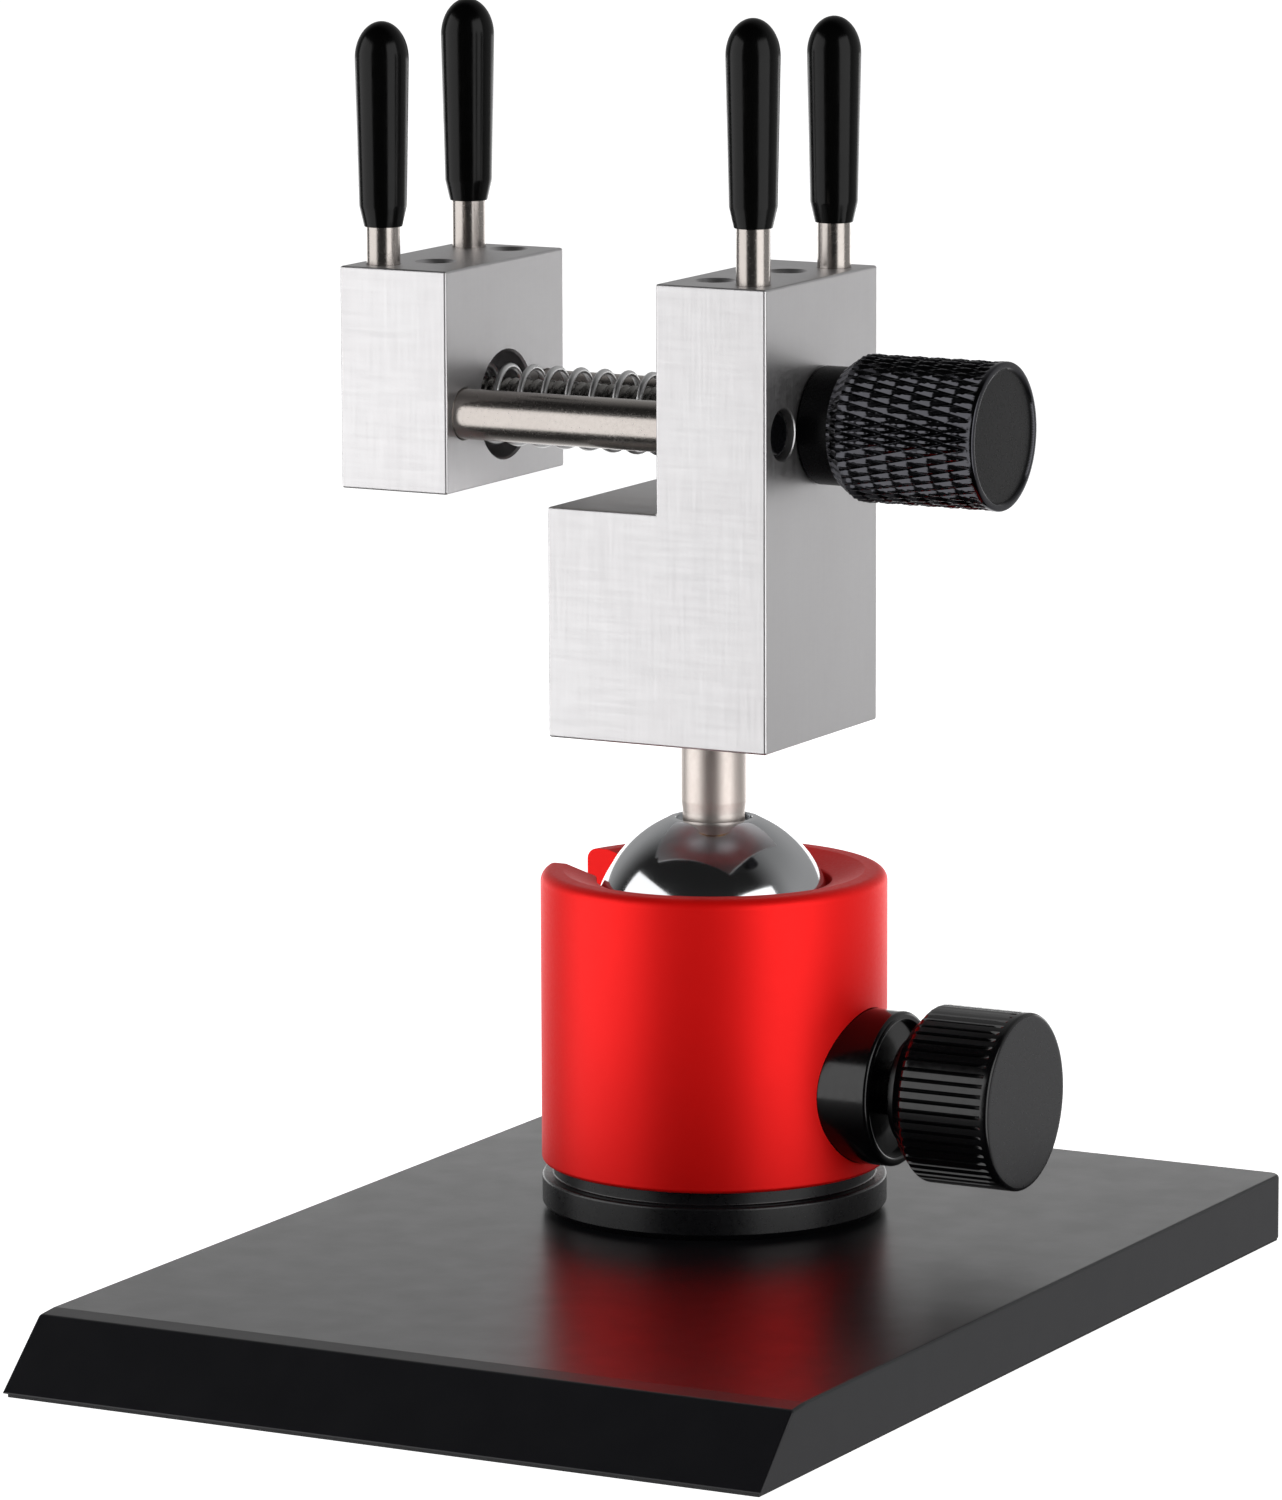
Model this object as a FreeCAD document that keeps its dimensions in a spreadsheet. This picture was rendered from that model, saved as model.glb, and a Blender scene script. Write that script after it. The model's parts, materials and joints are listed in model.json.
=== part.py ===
import FreeCAD, Part
import os
import Sketcher
from FreeCAD import Placement, Rotation, Vector

# A small watch-case holder: a screw vise with four capped pins on a ball head on a heavy base plate.
# Millimetres, +Z up.  The origin is the middle of the underside.  The head's upright axis stands at
# (head_x, head_y); every piece above the plate is drawn about that axis and then placed on it.

SIZES = {
    # Base plate and the sheet under it
    "plate_width": 120.0,
    "plate_depth": 172.0,
    "plate_thick": 9.7,
    "plate_slope_run": 9.7,
    "plate_slope_drop": 9.2,
    "plate_band_run": 3.6,
    "plate_band_drop": 0.3,
    "plate_edge_chamfer": 0.5,
    "plate_corner_radius": 1.5,
    "plate_nose_radius": 0.8,
    "sheet_thick": 0.6,
    "sheet_inset": 0.5,
    # Upright axis of the ball head
    "head_x": -7.0,
    "head_y": 28.5,
    # Foot of the ball head
    "flange_inset": 0.05,
    "flange_high": 5.1,
    "flange_chamfer": 1.0,
    "neck_inset": 1.75,
    "neck_high": 2.1,
    "edge_break": 0.3,
    "bolt_radius": 4.0,
    "bolt_head_radius": 7.6,
    "bolt_head_high": 3.6,
    "bolt_head_sink": 0.5,
    "bolt_length": 20.0,
    "bolt_socket_flats": 5.0,
    "bolt_socket_deep": 2.6,
    # Housing, ball and what holds the ball
    "ball_radius": 18.0,
    "ball_over_lock": 3.5,
    "ball_flat_cut": 1.25,
    "ball_recess_deep": 0.6,
    "ball_recess_gap": 0.8,
    "cavity_gap": 1.5,
    "housing_wall": 6.25,
    "rim_over_ball": 8.9,
    "housing_fillet": 3.0,
    "housing_foot_chamfer": 0.6,
    "mouth_hold": 0.5,
    "lip_thick": 1.8,
    "dish_wide": 4.9,
    "dish_deep": 1.5,
    "slot_gap": 1.7,
    "liner_high": 5.2,
    "seat_bottom_lift": 3.8,
    "seat_drop": 8.3,
    "seat_gap": 0.15,
    "slip_gap": 0.1,
    "block_ball_gap": 0.6,
    # Lock: wedge, screw, collar and knob, on an axis along X
    "lock_up": 13.3,
    "wedge_drop": 6.8,
    "wedge_half_length": 8.5,
    "wedge_half_width": 8.0,
    "wedge_high": 7.1,
    "wedge_rise": 1.0,
    "wedge_gap": 0.1,
    "lock_screw_radius": 4.0,
    "lock_tip_radius": 2.2,
    "collar_radius": 11.5,
    "collar_sink": 2.85,
    "collar_thick": 8.1,
    "collar_chamfer": 0.5,
    "lock_hub_radius": 8.2,
    "lock_hub_gap": 1.6,
    "lock_hub_length": 2.4,
    "lock_knob_radius": 13.15,
    "lock_knob_length": 16.4,
    "lock_knob_chamfer": 0.8,
    "lock_knob_back_chamfer": 2.2,
    "lock_knob_end": 4.0,
    # Stem
    "stem_radius": 4.8,
    "stem_shows": 13.2,
    "stem_foot_radius": 4.6,
    "stem_foot_high": 3.0,
    "stem_step": 0.2,
    "stem_spigot_radius": 4.0,
    "stem_spigot_length": 12.0,
    "stud_radius": 3.2,
    "stud_length": 13.0,
    "stem_ring_thick": 0.9,
    "stem_ring_chamfer": 0.25,
    "stem_groove_deep": 0.5,
    "stem_groove_high": 0.5,
    # Vise
    "jaw_width": 36.0,
    "jaw_thick": 18.0,
    "foot_high": 34.2,
    "block_high": 67.9,
    "jaw_lift": 0.6,
    "jaw_open": 34.8,
    "jaw_chamfer": 0.35,
    "screw_drop": 21.6,
    "screw_radius": 4.0,
    "screw_end_short": 2.0,
    "screw_chamfer": 0.6,
    "rod_radius": 3.75,
    "rod_web": 0.75,
    "rod_chamfer": 0.5,
    "rod_plug_length": 2.9,
    "rod_plug_sink": 0.6,
    "recess_gap": 1.8,
    "recess_deep": 6.0,
    "bushing_wall": 2.0,
    "pin_radius": 2.5,
    "pin_bore_deep": 12.0,
    "pin_edge": 4.6,
    "pin_spread": 12.9,
    "pin_length": 34.0,
    "run_gap": 0.05,
    # Caps
    "cap_wall": 1.5,
    "cap_low_wall": 1.05,
    "cap_mouth_wall": 0.35,
    "cap_bevel_high": 3.0,
    "cap_body_high": 21.8,
    "cap_dome_high": 5.5,
    "cap_hollow": 25.0,
    # Spring on the lead screw
    "spring_screw_gap": 1.2,
    "spring_wire": 1.0,
    # Clamp knob
    "clamp_hub_radius": 8.7,
    "clamp_hub_length": 5.1,
    "clamp_knob_radius": 10.9,
    "clamp_knob_length": 24.5,
    "clamp_knob_back_chamfer": 1.8,
    "clamp_knob_chamfer": 0.5,
    "clamp_dish_radius": 9.9,
    "clamp_dish_deep": 0.4,
    "clamp_knob_end": 8.0,
    "ring_lip": 1.1,
    "ring_groove_deep": 0.6,
    "ring_thick": 0.9,
    "grub_radius": 1.5,
    "grub_length": 4.0,
}

# How far each pin shows between its jaw and its cap
PIN_SHOWS = {
    "front_fixed": 8.3,
    "rear_fixed": 6.7,
    "front_moving": 5.6,
    "rear_moving": 7.1,
}

# Empty pin bores: name, distance along X beyond where a pin in it just clears the caps, place along Y
SPARE_BORES = {
    "fixed": (("inner_spare_bore", 1.3, -9.9), ("outer_spare_bore", -2.7, 5.2)),
    "moving": (("inner_spare_bore", -1.3, -6.4), ("outer_spare_bore", 0.2, 12.9)),
}

doc = FreeCAD.newDocument("case_holder")
sheet = doc.addObject("Spreadsheet::Sheet", "sizes")
finished = []


def fill_sheet():
    rows = dict(SIZES)
    rows.update({"show_" + name: value for name, value in PIN_SHOWS.items()})
    for side, bores in SPARE_BORES.items():
        for name, clear, along in bores:
            rows[f"{side}_{name}_clear"] = clear
            rows[f"{side}_{name}_along"] = along
    for row, (name, value) in enumerate(rows.items(), start=1):
        sheet.set(f"A{row}", name)
        sheet.set(f"B{row}", str(value))
        sheet.setAlias(f"B{row}", name)
    worked_out = {
        "plate_top": "sheet_thick + plate_thick",
        "flange_top": "plate_top + flange_high",
        "housing_foot": "flange_top + neck_high",
        "lock_z": "housing_foot + lock_up",
        "plug_top": "lock_z - wedge_drop",
        "ball_z": "lock_z + ball_over_lock + ball_radius",
        "ball_flat_z": "ball_z + ball_radius - ball_flat_cut",
        "housing_top": "ball_z + rim_over_ball",
        "lip_foot": "housing_top - dish_deep - lip_thick",
        "seat_foot": "ball_z - ball_radius + seat_bottom_lift",
        "cavity_radius": "ball_radius + cavity_gap",
        "mouth_radius": "ball_radius - mouth_hold",
        "dish_radius": "mouth_radius + dish_wide",
        "housing_radius": "cavity_radius + housing_wall",
        "flange_radius": "housing_radius - flange_inset",
        "neck_radius": "housing_radius - neck_inset",
        "slot_width": "2 * stem_radius + 2 * slot_gap",
        "collar_seat_x": "housing_radius - collar_sink",
        "collar_end_x": "collar_seat_x + collar_thick",
        "lock_hub_x": "collar_end_x + lock_hub_gap",
        "lock_knob_x": "lock_hub_x + lock_hub_length",
        "lock_knob_face_x": "lock_knob_x + lock_knob_length",
        "block_foot": "ball_flat_z + stem_shows",
        "foot_top": "block_foot + run_gap + foot_high",
        "jaw_foot": "foot_top + jaw_lift",
        "jaw_top": "block_foot + run_gap + block_high",
        "screw_z": "jaw_top - screw_drop",
        "moving_face": "-jaw_open",
        "moving_back": "-jaw_open - jaw_thick",
        "spring_bore": "screw_radius + spring_screw_gap",
        "spring_radius": "spring_bore + spring_wire",
        "recess_radius": "spring_radius + recess_gap",
        "bushing_radius": "screw_radius + bushing_wall",
        "ring_radius": "screw_radius + ring_lip",
        "ring_groove_radius": "screw_radius - ring_groove_deep",
        "rod_spread": "recess_radius + rod_web + rod_radius",
        "pin_bore_radius": "pin_radius + run_gap",
        "cap_radius": "pin_radius + cap_wall",
        "cap_low_radius": "pin_radius + cap_low_wall",
        "cap_mouth_radius": "pin_radius + cap_mouth_wall",
    }
    first = len(rows) + 1
    for row, (name, formula) in enumerate(worked_out.items(), start=first):
        sheet.set(f"A{row}", name)
        sheet.set(f"B{row}", "=" + formula)
        sheet.setAlias(f"B{row}", name)
        doc.recompute()


def size(name):
    return float(getattr(sheet, name))


def in_sheet(formula):
    """Write a formula's size names as cells of the sheet."""
    pieces = []
    for word in formula.replace("(", " ( ").replace(")", " ) ").split():
        sign = "-" if word.startswith("-") and word[1:].isidentifier() else ""
        name = word[len(sign):]
        pieces.append(sign + "sizes." + name if name.isidentifier() else word)
    return " ".join(pieces)


def value(formula):
    answer = sheet.evalExpression(in_sheet(formula))
    return float(getattr(answer, "Value", answer))


def bind(thing, **formulas):
    for path, formula in formulas.items():
        thing.setExpression(path.replace("__", "."), in_sheet(formula))


def move(thing, x="0", y="0", z="0", turn=None):
    """Stand a thing at a place worked out from the sheet, turned first if need be."""
    thing.Placement = Placement(Vector(), turn or Rotation())
    bind(thing, Placement__Base__x=x, Placement__Base__y=y, Placement__Base__z=z)
    return thing


ALONG_X = Rotation(Vector(0, 1, 0), 90)
ALONG_Y = Rotation(Vector(1, 0, 0), -90)


def cylinder(name, radius, length, x="0", y="0", z="0", turn=None):
    rod = doc.addObject("Part::Cylinder", name)
    bind(rod, Radius=radius, Height=length)
    return move(rod, x, y, z, turn)


def box(name, length, width, high, x="0", y="0", z="0"):
    block = doc.addObject("Part::Box", name)
    bind(block, Length=length, Width=width, Height=high)
    return move(block, x, y, z)


def ball_tool(name, radius):
    sphere = doc.addObject("Part::Sphere", name)
    bind(sphere, Radius=radius)
    return move(sphere, z="ball_z")


def join(name, pieces):
    fuse = doc.addObject("Part::MultiFuse", name)
    fuse.Shapes = pieces
    return fuse


def cut(name, base, *tools):
    result = doc.addObject("Part::Cut", name)
    result.Base = base
    result.Tool = tools[0] if len(tools) == 1 else join(name + "_tools", list(tools))
    return result


def outline(body, plane, corners):
    """A closed sketch of straight lines; each corner's two distances follow the sheet."""
    sketch = body.newObject("Sketcher::SketchObject", body.Name + "_outline")
    origin_plane = next(item for item in body.Origin.OriginFeatures if item.Role == plane)
    sketch.AttachmentSupport = (origin_plane, [""])
    sketch.MapMode = "FlatFace"
    points = [Vector(value(across), value(up), 0) for across, up in corners]
    for start, end in zip(points, points[1:] + points[:1]):
        sketch.addGeometry(Part.LineSegment(start, end))
    for index in range(len(points)):
        following = (index + 1) % len(points)
        sketch.addConstraint(Sketcher.Constraint("Coincident", index, 2, following, 1))
    for index, corner in enumerate(corners):
        for kind, axis, formula in zip(("DistanceX", "DistanceY"), (-2, -1), corner):
            if formula == "0":
                sketch.addConstraint(Sketcher.Constraint("PointOnObject", index, 1, axis))
                continue
            rule = Sketcher.Constraint(kind, -1, 1, index, 1, value(formula))
            place = sketch.addConstraint(rule)
            sketch.setExpression(f"Constraints[{place}]", in_sheet(formula))
    return sketch


def turned(name, corners):
    """A piece turned on a lathe: (radius, distance along the axis) corners about local Z."""
    body = doc.addObject("PartDesign::Body", name)
    sketch = outline(body, "XZ_Plane", corners)
    spin = body.newObject("PartDesign::Revolution", name + "_spin")
    spin.Profile = sketch
    spin.ReferenceAxis = (sketch, ["V_Axis"])
    spin.Angle = 360
    sketch.Visibility = False
    doc.recompute()
    return body


def milled(name, plane, corners, depth):
    """A straight-sided piece: an outline padded half each way from its plane."""
    body = doc.addObject("PartDesign::Body", name)
    pad = body.newObject("PartDesign::Pad", name + "_pad")
    pad.Profile = outline(body, plane, corners)
    pad.SideType = "Symmetric"
    bind(pad, Length=depth)
    doc.recompute()
    return body


def dress(body, kind, amount, chosen):
    """Fillet or chamfer the edges of a body's tip that pass the test."""
    base = body.Tip
    edges = [f"Edge{n}" for n, edge in enumerate(base.Shape.Edges, start=1) if chosen(edge)]
    feature = body.newObject("PartDesign::" + kind, f"{body.Name}_{kind}_{len(body.Group)}")
    feature.Base = (base, edges)
    bind(feature, **{"Radius" if kind == "Fillet" else "Size": amount})
    doc.recompute()
    return body


def straight(edge):
    return edge.Curve.TypeId == "Part::GeomLine"


def ring_at(radius, height):
    """A test for the circular edge of a turned piece at a radius and a distance along its axis."""
    def chosen(edge):
        if edge.Curve.TypeId != "Part::GeomCircle":
            return False
        return abs(edge.Curve.Radius - radius) < 1e-3 and abs(edge.Curve.Center.z - height) < 1e-3
    return chosen


def finish(thing, label, x="head_x", y="head_y", z="0", turn=None):
    move(thing, x, y, z, turn)
    thing.Label = label
    finished.append(thing)


def finish_on_axis(thing, label, height, y="head_y"):
    """A piece drawn about local Z whose axis lies along X at a height."""
    finish(thing, label, y=y, z=height, turn=ALONG_X)


# --- Base -------------------------------------------------------------------------------------------

def base_plate():
    top = "plate_thick"
    side = [
        ("0", "0"),
        ("plate_depth", "0"),
        ("plate_depth", top),
        ("plate_slope_run + plate_band_run", top),
        ("plate_slope_run", "plate_thick - plate_band_drop"),
        ("0", "plate_thick - plate_band_drop - plate_slope_drop"),
    ]
    plate = milled("plate_blank", "YZ_Plane", side, "plate_width")
    nose = size("plate_thick") - size("plate_band_drop")
    dress(plate, "Fillet", "plate_nose_radius",
          lambda edge: straight(edge) and all(abs(v.Z - nose) < 1e-3 and
                                              abs(v.Y - size("plate_slope_run")) < 1e-3
                                              for v in edge.Vertexes))
    dress(plate, "Chamfer", "plate_edge_chamfer",
          lambda edge: straight(edge) and edge.Length > size("plate_depth") / 2 and
          all(abs(v.Z - size("plate_thick")) < 1e-3 for v in edge.Vertexes))
    dress(plate, "Fillet", "plate_corner_radius",
          lambda edge: straight(edge) and abs(edge.Length - size("plate_thick")) < 1 and
          all(abs(v.Y - size("plate_depth")) < 1e-3 for v in edge.Vertexes))
    at = {"x": "head_x", "y": "head_y + plate_depth / 2"}
    hole = cylinder("plate_hole", "bolt_radius + slip_gap", "plate_thick", **at)
    pocket = cylinder("plate_pocket", "bolt_head_radius + slip_gap", "bolt_head_sink", **at)
    sink = doc.addObject("Part::Cone", "plate_countersink")
    bind(sink, Radius1="bolt_head_radius + slip_gap", Radius2="bolt_radius + slip_gap",
         Height="bolt_head_high")
    move(sink, z="bolt_head_sink", **at)
    finish(cut("plate", plate, hole, pocket, sink), "base_plate", "0", "-plate_depth / 2", "sheet_thick")


def antislip_sheet():
    pad = box("sheet_blank", "plate_width - 2 * sheet_inset", "plate_depth - 2 * sheet_inset",
              "sheet_thick", "sheet_inset - plate_width / 2", "sheet_inset - plate_depth / 2")
    hole = cylinder("sheet_hole", "bolt_head_radius + 2 * sheet_inset", "sheet_thick", "head_x", "head_y")
    finish(cut("sheet_cut", pad, hole), "antislip_sheet", "0", "0")


def base_flange():
    foot = turned("flange", [
        ("bolt_radius", "plate_top"),
        ("flange_radius - flange_chamfer", "plate_top"),
        ("flange_radius", "plate_top + flange_chamfer"),
        ("flange_radius", "flange_top - edge_break"),
        ("flange_radius - edge_break", "flange_top"),
        ("neck_radius", "flange_top"),
        ("neck_radius", "housing_foot"),
        ("cavity_radius - slip_gap", "housing_foot"),
        ("cavity_radius - slip_gap", "plug_top"),
        ("0", "plug_top"),
        ("0", "sheet_thick + bolt_head_sink + bolt_length + 2 * slip_gap"),
        ("bolt_radius", "sheet_thick + bolt_head_sink + bolt_length + 2 * slip_gap"),
    ])
    finish(foot, "base_flange")


def base_bolt():
    head_foot = "sheet_thick + bolt_head_sink"
    bolt = turned("bolt", [
        ("0", head_foot),
        ("bolt_head_radius", head_foot),
        ("bolt_radius", head_foot + " + bolt_head_high"),
        ("bolt_radius", head_foot + " + bolt_length"),
        ("0", head_foot + " + bolt_length"),
    ])
    socket = doc.addObject("Part::Prism", "bolt_socket")
    socket.Polygon = 6
    bind(socket, Circumradius="bolt_socket_flats / 3 ^ 0.5", Height="bolt_socket_deep")
    move(socket, z=head_foot)
    finish(cut("bolt_cut", bolt, socket), "base_bolt")


def slot_tool(name):
    """The U slot in the side away from the lock knob, down to the ball's middle."""
    reach = "housing_radius - ball_radius / 2"
    sides = box(name + "_sides", reach, "slot_width", "housing_top - ball_z + 1",
                "-housing_radius - 1", "-slot_width / 2", "ball_z")
    floor = cylinder(name + "_floor", "slot_width / 2", reach, "-housing_radius - 1", z="ball_z",
                     turn=ALONG_X)
    return join(name, [sides, floor])


def ball_housing():
    shell = turned("housing_shell", [
        ("cavity_radius", "housing_foot"),
        ("housing_radius - housing_foot_chamfer", "housing_foot"),
        ("housing_radius", "housing_foot + housing_foot_chamfer"),
        ("housing_radius", "housing_top"),
        ("dish_radius", "housing_top"),
        ("mouth_radius", "housing_top - dish_deep"),
        ("mouth_radius", "lip_foot"),
        ("cavity_radius", "lip_foot"),
    ])
    dress(shell, "Fillet", "housing_fillet", ring_at(size("housing_radius"), size("housing_top")))
    seat = cylinder("collar_seat", "collar_radius + slip_gap", "housing_radius", "collar_seat_x",
                    z="lock_z", turn=ALONG_X)
    bore = cylinder("lock_bore", "lock_screw_radius + run_gap", "housing_radius", "cavity_radius / 2",
                    z="lock_z", turn=ALONG_X)
    finish(cut("housing", shell, slot_tool("housing_slot"), seat, bore), "ball_housing")


def ball_liner():
    blank = turned("liner_blank", [
        ("mouth_radius - lip_thick", "lip_foot - liner_high"),
        ("cavity_radius - slip_gap", "lip_foot - liner_high"),
        ("cavity_radius - slip_gap", "lip_foot"),
        ("mouth_radius - lip_thick", "lip_foot"),
    ])
    hollow = ball_tool("liner_hollow", "ball_radius + seat_gap")
    finish(cut("liner", blank, hollow, slot_tool("liner_slot")), "ball_liner")


def lift_block():
    blank = cylinder("lift_blank", "cavity_radius - slip_gap", "seat_foot - plug_top - 2 * slip_gap",
                     z="plug_top + slip_gap")
    roof = "plug_top + wedge_high + wedge_gap"
    channel = milled("lift_channel", "XZ_Plane", [
        ("-cavity_radius", "plug_top"),
        ("cavity_radius", "plug_top"),
        ("cavity_radius", roof + " + wedge_rise * cavity_radius / ( 2 * wedge_half_length )"),
        ("-cavity_radius", roof + " - wedge_rise * cavity_radius / ( 2 * wedge_half_length )"),
    ], "2 * wedge_half_width + 2 * wedge_gap")
    hollow = ball_tool("lift_hollow", "ball_radius + block_ball_gap")
    bore = cylinder("lift_bore", "lock_screw_radius + block_ball_gap / 2", "cavity_radius",
                    "wedge_half_length", z="lock_z", turn=ALONG_X)
    finish(cut("lift", blank, channel, hollow, bore), "lift_block")


# --- Lock -------------------------------------------------------------------------------------------

def lock_collar():
    ring = turned("collar", [
        ("lock_screw_radius + run_gap", "collar_seat_x"),
        ("collar_radius", "collar_seat_x"),
        ("collar_radius", "collar_end_x - collar_chamfer"),
        ("collar_radius - collar_chamfer", "collar_end_x"),
        ("lock_screw_radius + run_gap", "collar_end_x"),
    ])
    finish_on_axis(ring, "lock_collar", "lock_z")


def lock_wedge():
    floor = "plug_top + wedge_gap / 2"
    top = "plug_top + wedge_high"
    wedge = milled("wedge", "XZ_Plane", [
        ("-wedge_half_length", floor),
        ("wedge_half_length", floor),
        ("wedge_half_length", top + " + wedge_rise / 2"),
        ("-wedge_half_length", top + " - wedge_rise / 2"),
    ], "2 * wedge_half_width")
    finish(wedge, "lock_wedge")


def lock_screw():
    tip = "wedge_half_length + run_gap"
    end = "lock_knob_face_x - lock_knob_end"
    screw = turned("lock_rod", [
        ("0", tip),
        ("lock_tip_radius", tip),
        ("lock_screw_radius", tip + " + lock_screw_radius - lock_tip_radius"),
        ("lock_screw_radius", end),
        ("0", end),
    ])
    finish_on_axis(screw, "lock_screw", "lock_z")


def lock_knob():
    knob = turned("lock_grip", [
        ("lock_screw_radius", "lock_hub_x"),
        ("lock_hub_radius", "lock_hub_x"),
        ("lock_hub_radius", "lock_knob_x"),
        ("lock_knob_radius - lock_knob_back_chamfer", "lock_knob_x"),
        ("lock_knob_radius", "lock_knob_x + lock_knob_back_chamfer"),
        ("lock_knob_radius", "lock_knob_face_x - lock_knob_chamfer"),
        ("lock_knob_radius - lock_knob_chamfer", "lock_knob_face_x"),
        ("0", "lock_knob_face_x"),
        ("0", "lock_knob_face_x - lock_knob_end"),
        ("lock_screw_radius", "lock_knob_face_x - lock_knob_end"),
    ])
    finish_on_axis(knob, "lock_knob", "lock_z")


# --- Ball joint -------------------------------------------------------------------------------------

def ball_seat():
    top = "ball_z - seat_drop"
    ring = turned("seat_blank", [
        ("ball_radius / 1.7", "seat_foot"),
        ("cavity_radius - 3 * slip_gap", "seat_foot"),
        ("cavity_radius - 3 * slip_gap", top),
        ("ball_radius / 1.7", top),
    ])
    finish(cut("seat", ring, ball_tool("seat_hollow", "ball_radius + seat_gap")), "ball_seat")


def ball():
    recess_foot = "ball_flat_z - ball_recess_deep"
    crown = cylinder("ball_crown", "ball_radius", "ball_radius", z="ball_flat_z")
    bore = cylinder("ball_bore", "stem_spigot_radius", "stem_spigot_length + ball_radius",
                    z=recess_foot + " - stem_spigot_length")
    recess = cylinder("ball_recess", "stem_radius + ball_recess_gap", "ball_radius", z=recess_foot)
    finish(cut("ball_cut", ball_tool("ball_blank", "ball_radius"), crown, bore, recess), "ball")


def stem():
    shoulder = "ball_flat_z - ball_recess_deep"
    top = "block_foot - stem_ring_thick"
    groove = top + " - stem_groove_high"
    post = turned("post", [
        ("0", shoulder + " - stem_spigot_length"),
        ("stem_spigot_radius", shoulder + " - stem_spigot_length"),
        ("stem_spigot_radius", shoulder),
        ("stem_foot_radius", shoulder),
        ("stem_foot_radius", shoulder + " + stem_foot_high"),
        ("stem_radius", shoulder + " + stem_foot_high + stem_step"),
        ("stem_radius", groove + " - edge_break"),
        ("stem_radius - stem_groove_deep", groove),
        ("stem_radius - stem_groove_deep", top),
        ("stud_radius", top),
        ("stud_radius", top + " + stud_length"),
        ("0", top + " + stud_length"),
    ])
    finish(post, "stem")


def stem_ring():
    low = "block_foot - stem_ring_thick"
    ring = turned("ring", [
        ("stud_radius", low),
        ("stem_radius - stem_ring_chamfer", low),
        ("stem_radius", low + " + stem_ring_chamfer"),
        ("stem_radius", "block_foot - stem_ring_chamfer"),
        ("stem_radius - stem_ring_chamfer", "block_foot"),
        ("stud_radius", "block_foot"),
    ])
    finish(ring, "stem_ring")


# --- Vise -------------------------------------------------------------------------------------------

def jaw_bores(side, outer_face, inward):
    """Blind bores from a jaw's top: two that hold pins and the empty ones."""
    rows = []
    for name, along in (("front", "-pin_spread"), ("rear", "pin_spread")):
        rows.append((f"{side}_{name}_pin_bore", f"{outer_face} {inward} pin_edge", along))
    for name, _, _ in SPARE_BORES[side]:
        cell = f"{side}_{name}"
        clear = f"( pin_edge + cap_radius + pin_radius + {cell}_clear )"
        rows.append((cell, f"{outer_face} {inward} {clear}", cell + "_along"))
    return [cylinder(name, "pin_bore_radius", "pin_bore_deep + 1", x, y, "jaw_top - pin_bore_deep")
            for name, x, y in rows]


def rod_bores(side, start, length):
    return [cylinder(f"{side}_{name}_rod_bore", "rod_radius + run_gap", length, start, along, "screw_z",
                     ALONG_X)
            for name, along in (("front", "-rod_spread"), ("rear", "rod_spread"))]


def fixed_jaw():
    low = "block_foot + run_gap"
    block = milled("fixed_blank", "XZ_Plane", [
        ("-jaw_thick", low),
        ("jaw_thick", low),
        ("jaw_thick", "jaw_top"),
        ("0", "jaw_top"),
        ("0", "foot_top"),
        ("-jaw_thick", "foot_top"),
    ], "jaw_width")
    dress(block, "Chamfer", "jaw_chamfer", straight)
    stud = cylinder("stud_bore", "stud_radius + run_gap", "stud_length + 2", z=low + " - 1")
    recess = cylinder("fixed_recess", "recess_radius", "recess_deep + 1", "-1", z="screw_z", turn=ALONG_X)
    bore = cylinder("bushing_bore", "bushing_radius", "jaw_thick", "recess_deep", z="screw_z", turn=ALONG_X)
    tools = [stud, recess, bore] + jaw_bores("fixed", "jaw_thick", "-")
    finish(cut("fixed", block, *tools, *rod_bores("fixed", "-1", "jaw_thick + 2")), "fixed_jaw")


def moving_jaw():
    block = milled("moving_blank", "XZ_Plane", [
        ("moving_back", "jaw_foot"),
        ("moving_face", "jaw_foot"),
        ("moving_face", "jaw_top"),
        ("moving_back", "jaw_top"),
    ], "jaw_width")
    dress(block, "Chamfer", "jaw_chamfer", straight)
    recess = cylinder("moving_recess", "recess_radius", "recess_deep + 1", "moving_face - recess_deep",
                      z="screw_z", turn=ALONG_X)
    bore = cylinder("nut_bore", "screw_radius + run_gap", "jaw_thick + 2", "moving_back - 1", z="screw_z",
                    turn=ALONG_X)
    tools = [recess, bore] + jaw_bores("moving", "moving_back", "+")
    finish(cut("moving", block, *tools, *rod_bores("moving", "moving_back - 1", "jaw_thick + 2")),
           "moving_jaw")


def guide_rods():
    start = "moving_back + screw_end_short"
    end = "jaw_thick - rod_plug_sink - rod_plug_length"
    plug_face = "jaw_thick - rod_plug_sink"
    for name, along in (("front", "head_y - rod_spread"), ("rear", "head_y + rod_spread")):
        rod = turned(name + "_rod", [
            ("0", start),
            ("rod_radius - rod_chamfer", start),
            ("rod_radius", start + " + rod_chamfer"),
            ("rod_radius", end),
            ("0", end),
        ])
        finish_on_axis(rod, name + "_guide_rod", "screw_z", along)
        plug = turned(name + "_plug", [
            ("0", end),
            ("rod_radius", end),
            ("rod_radius", plug_face),
            ("0", plug_face),
        ])
        dress(plug, "Fillet", "rod_radius / 2", ring_at(size("rod_radius"), value(plug_face)))
        finish_on_axis(plug, name + "_rod_plug", "screw_z", along)


def screw_bushing():
    bush = turned("bushing", [
        ("screw_radius + run_gap", "recess_deep"),
        ("bushing_radius", "recess_deep"),
        ("bushing_radius", "jaw_thick"),
        ("screw_radius + run_gap", "jaw_thick"),
    ])
    finish_on_axis(bush, "screw_bushing", "screw_z")


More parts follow.
